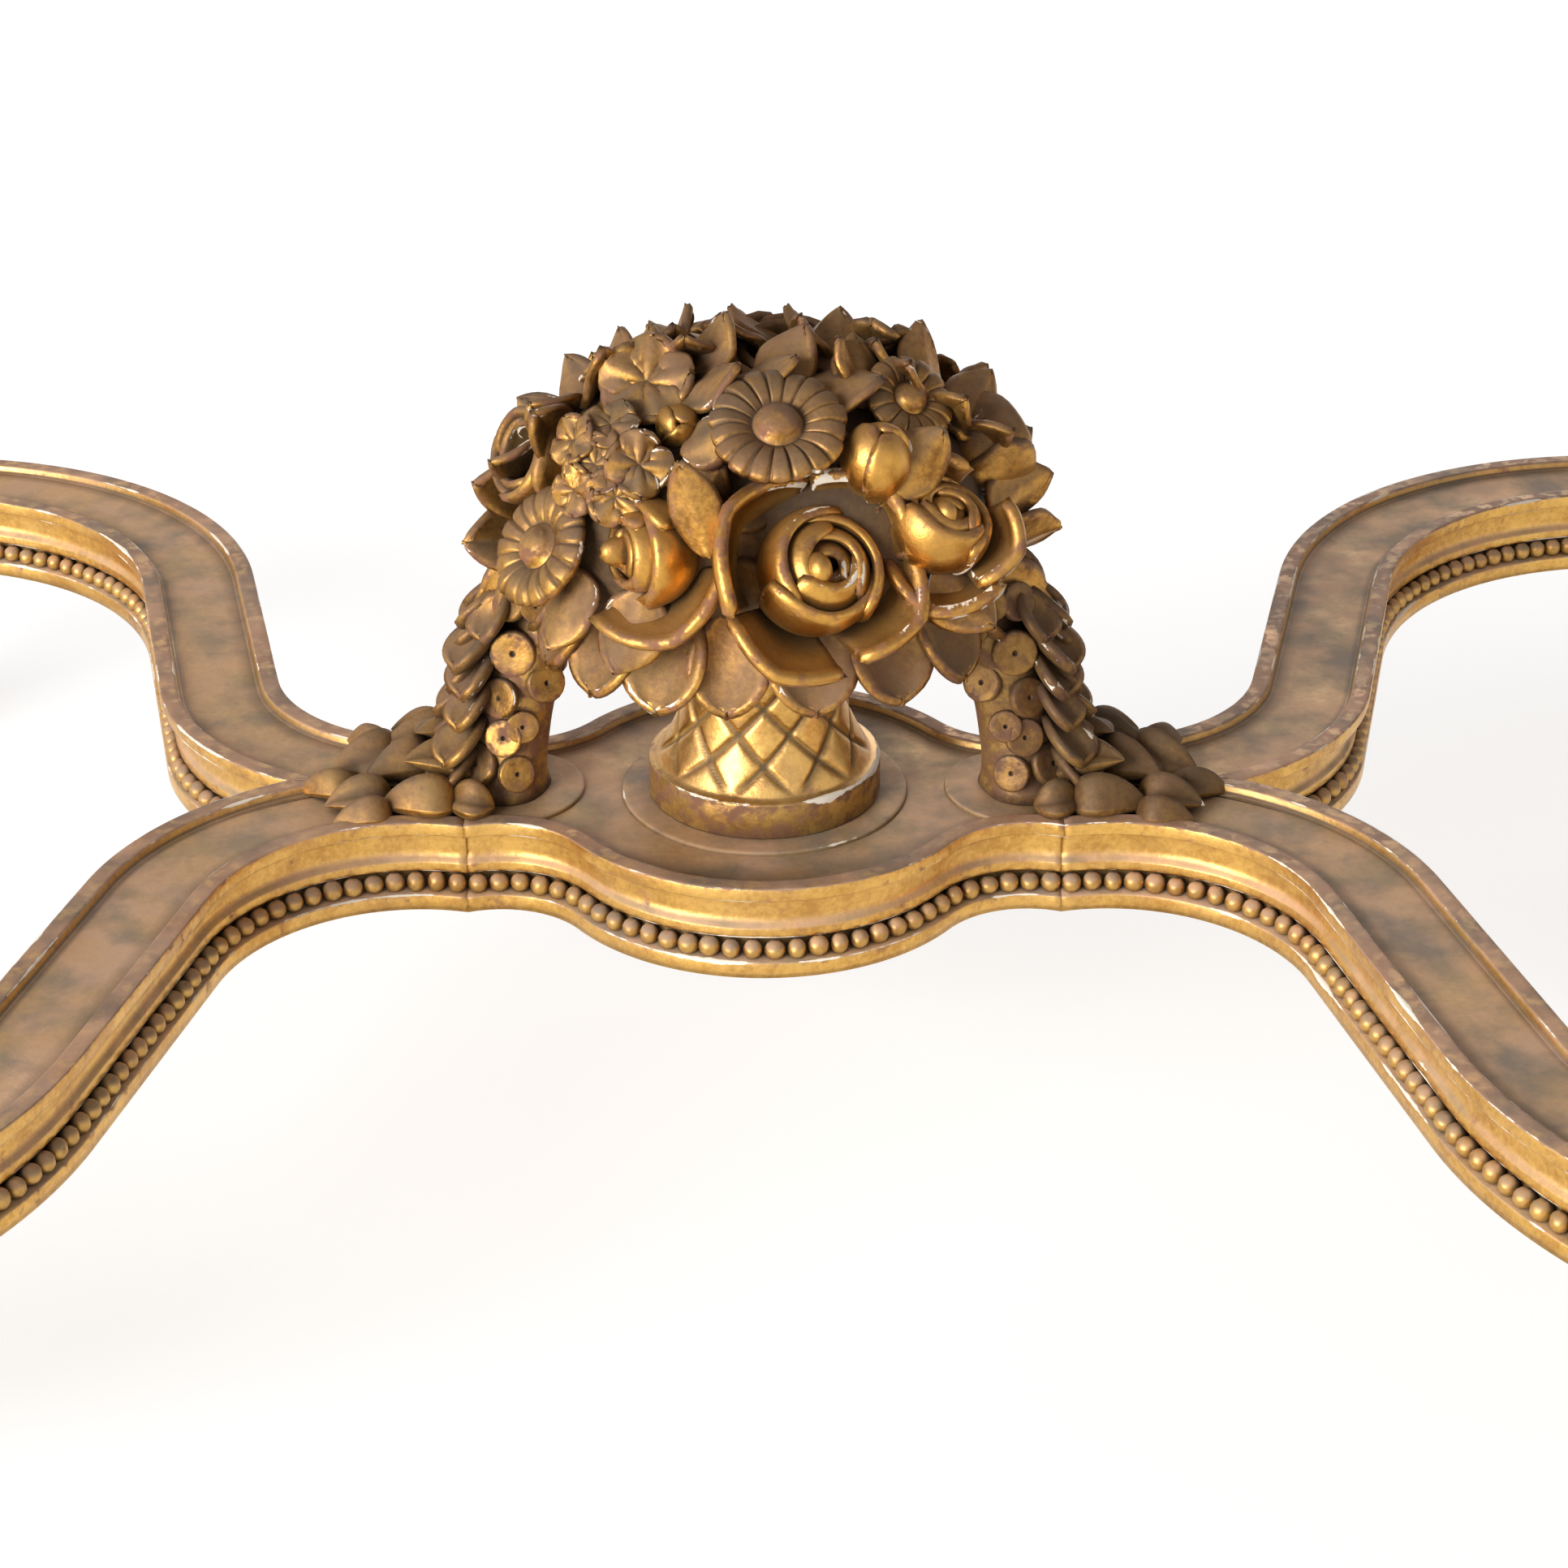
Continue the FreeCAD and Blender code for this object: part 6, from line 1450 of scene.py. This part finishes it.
class TABLE_OT_set_stage(bpy.types.Operator):
    """Set the floor, the lamps, the room light and the camera"""
    bl_idname = "centre_table.set_stage"
    bl_label = "Set stage"

    def execute(self, context):
        scene, stage = context.scene, context.scene.table_stage
        mesh = bpy.data.meshes.new("floor")
        reach = stage.floor
        corners = [(-reach, -reach, 0), (reach, -reach, 0), (reach, reach, 0), (-reach, reach, 0)]
        mesh.from_pydata(corners, [], [(0, 1, 2, 3)])
        floor = bpy.data.objects.new("floor", mesh)
        scene.collection.objects.link(floor)
        made = bpy.data.materials.new("white_floor")
        made.use_nodes = True
        tree = made.node_tree
        tree.nodes.clear()
        seen = white_to_eye(tree)
        # Beyond the lamps' reach the floor is as white as the room
        spot = add(tree, "ShaderNodeTexCoord", out="Object")
        away = add(tree, "ShaderNodeVectorMath", {0: spot}, out="Value", operation="LENGTH")
        white = add(tree, RANGE, {"Value": away, "From Min": GLOW_START, "From Max": GLOW_END,
                                  "To Min": FLOOR_NEAR, "To Max": FLOOR_FAR}, **SMOOTH)
        glow = add(tree, RANGE, {"Value": seen, "To Min": FLOOR_GLOW, "To Max": white})
        shader = add(tree, "ShaderNodeBsdfPrincipled", {"Base Color": FLOOR_GREY, "Roughness": 0.9,
                                                        "Emission Color": WHITE, "Emission Strength": glow})
        add(tree, "ShaderNodeOutputMaterial", {"Surface": shader})
        mesh.materials.append(made)
        world = bpy.data.worlds.new("white_room")
        world.use_nodes = True
        tree = world.node_tree
        tree.nodes.clear()
        glow = add(tree, RANGE, {"Value": white_to_eye(tree), "To Min": stage.ambient, "To Max": 1.0})
        back = add(tree, "ShaderNodeBackground", {"Color": WHITE, "Strength": glow})
        add(tree, "ShaderNodeOutputWorld", {"Surface": back})
        scene.world = world
        for name, (place, width) in LAMPS.items():
            lamp = bpy.data.lights.new(name + "_lamp", "AREA")
            lamp.energy = getattr(stage, name)
            lamp.size = width
            thing = bpy.data.objects.new(name + "_lamp", lamp)
            thing.location = place
            thing.rotation_mode = "QUATERNION"
            turn = axes(np.array(place) - LAMP_AIM).T
            thing.rotation_quaternion = Matrix(turn.tolist()).to_quaternion()
            scene.collection.objects.link(thing)
        view = bpy.data.cameras.new("view")
        view.lens = stage.lens
        view.sensor_width = SENSOR_WIDTH
        camera = bpy.data.objects.new("view", view)
        camera.location = stage.camera_place
        camera.rotation_euler = stage.camera_turn
        scene.collection.objects.link(camera)
        scene.camera = camera
        scene.view_settings.view_transform = "Standard"
        return {"FINISHED"}


STEPS = (TABLE_OT_carve_stretcher, TABLE_OT_set_beads, TABLE_OT_turn_basket, TABLE_OT_carve_roses,
         TABLE_OT_carve_daisies, TABLE_OT_carve_small_flowers, TABLE_OT_carve_leaves, TABLE_OT_carve_garlands,
         TABLE_OT_finish_frame, TABLE_OT_set_stage)
GROUPS = {"table_stretcher": StretcherSizes, "table_basket": BasketSizes, "table_flowers": FlowerSizes,
          "table_finishes": Finishes, "table_stage": StageSettings}


class TABLE_PT_centre_table(bpy.types.Panel):
    """Steps that dress the centre table, and their settings"""
    bl_label = "Centre table"
    bl_space_type = "VIEW_3D"
    bl_region_type = "UI"
    bl_category = "Centre table"

    def draw(self, context):
        for step in STEPS:
            self.layout.operator(step.bl_idname)
        for name, group in GROUPS.items():
            for key in group.__annotations__:
                self.layout.prop(getattr(context.scene, name), key)


CLASSES = (*GROUPS.values(), *STEPS, TABLE_PT_centre_table)


def register():
    """Register the classes and hang the settings on the scene."""
    for one in CLASSES:
        bpy.utils.register_class(one)
    for name, group in GROUPS.items():
        setattr(bpy.types.Scene, name, PointerProperty(type=group))


def unregister():
    """Take the settings off the scene and unregister the classes."""
    for name in GROUPS:
        delattr(bpy.types.Scene, name)
    for one in reversed(CLASSES):
        bpy.utils.unregister_class(one)


def main():
    """Dress the table."""
    register()
    for step in STEPS:
        group, name = step.bl_idname.split(".")
        getattr(getattr(bpy.ops, group), name)()


if __name__ == "__main__":
    main()
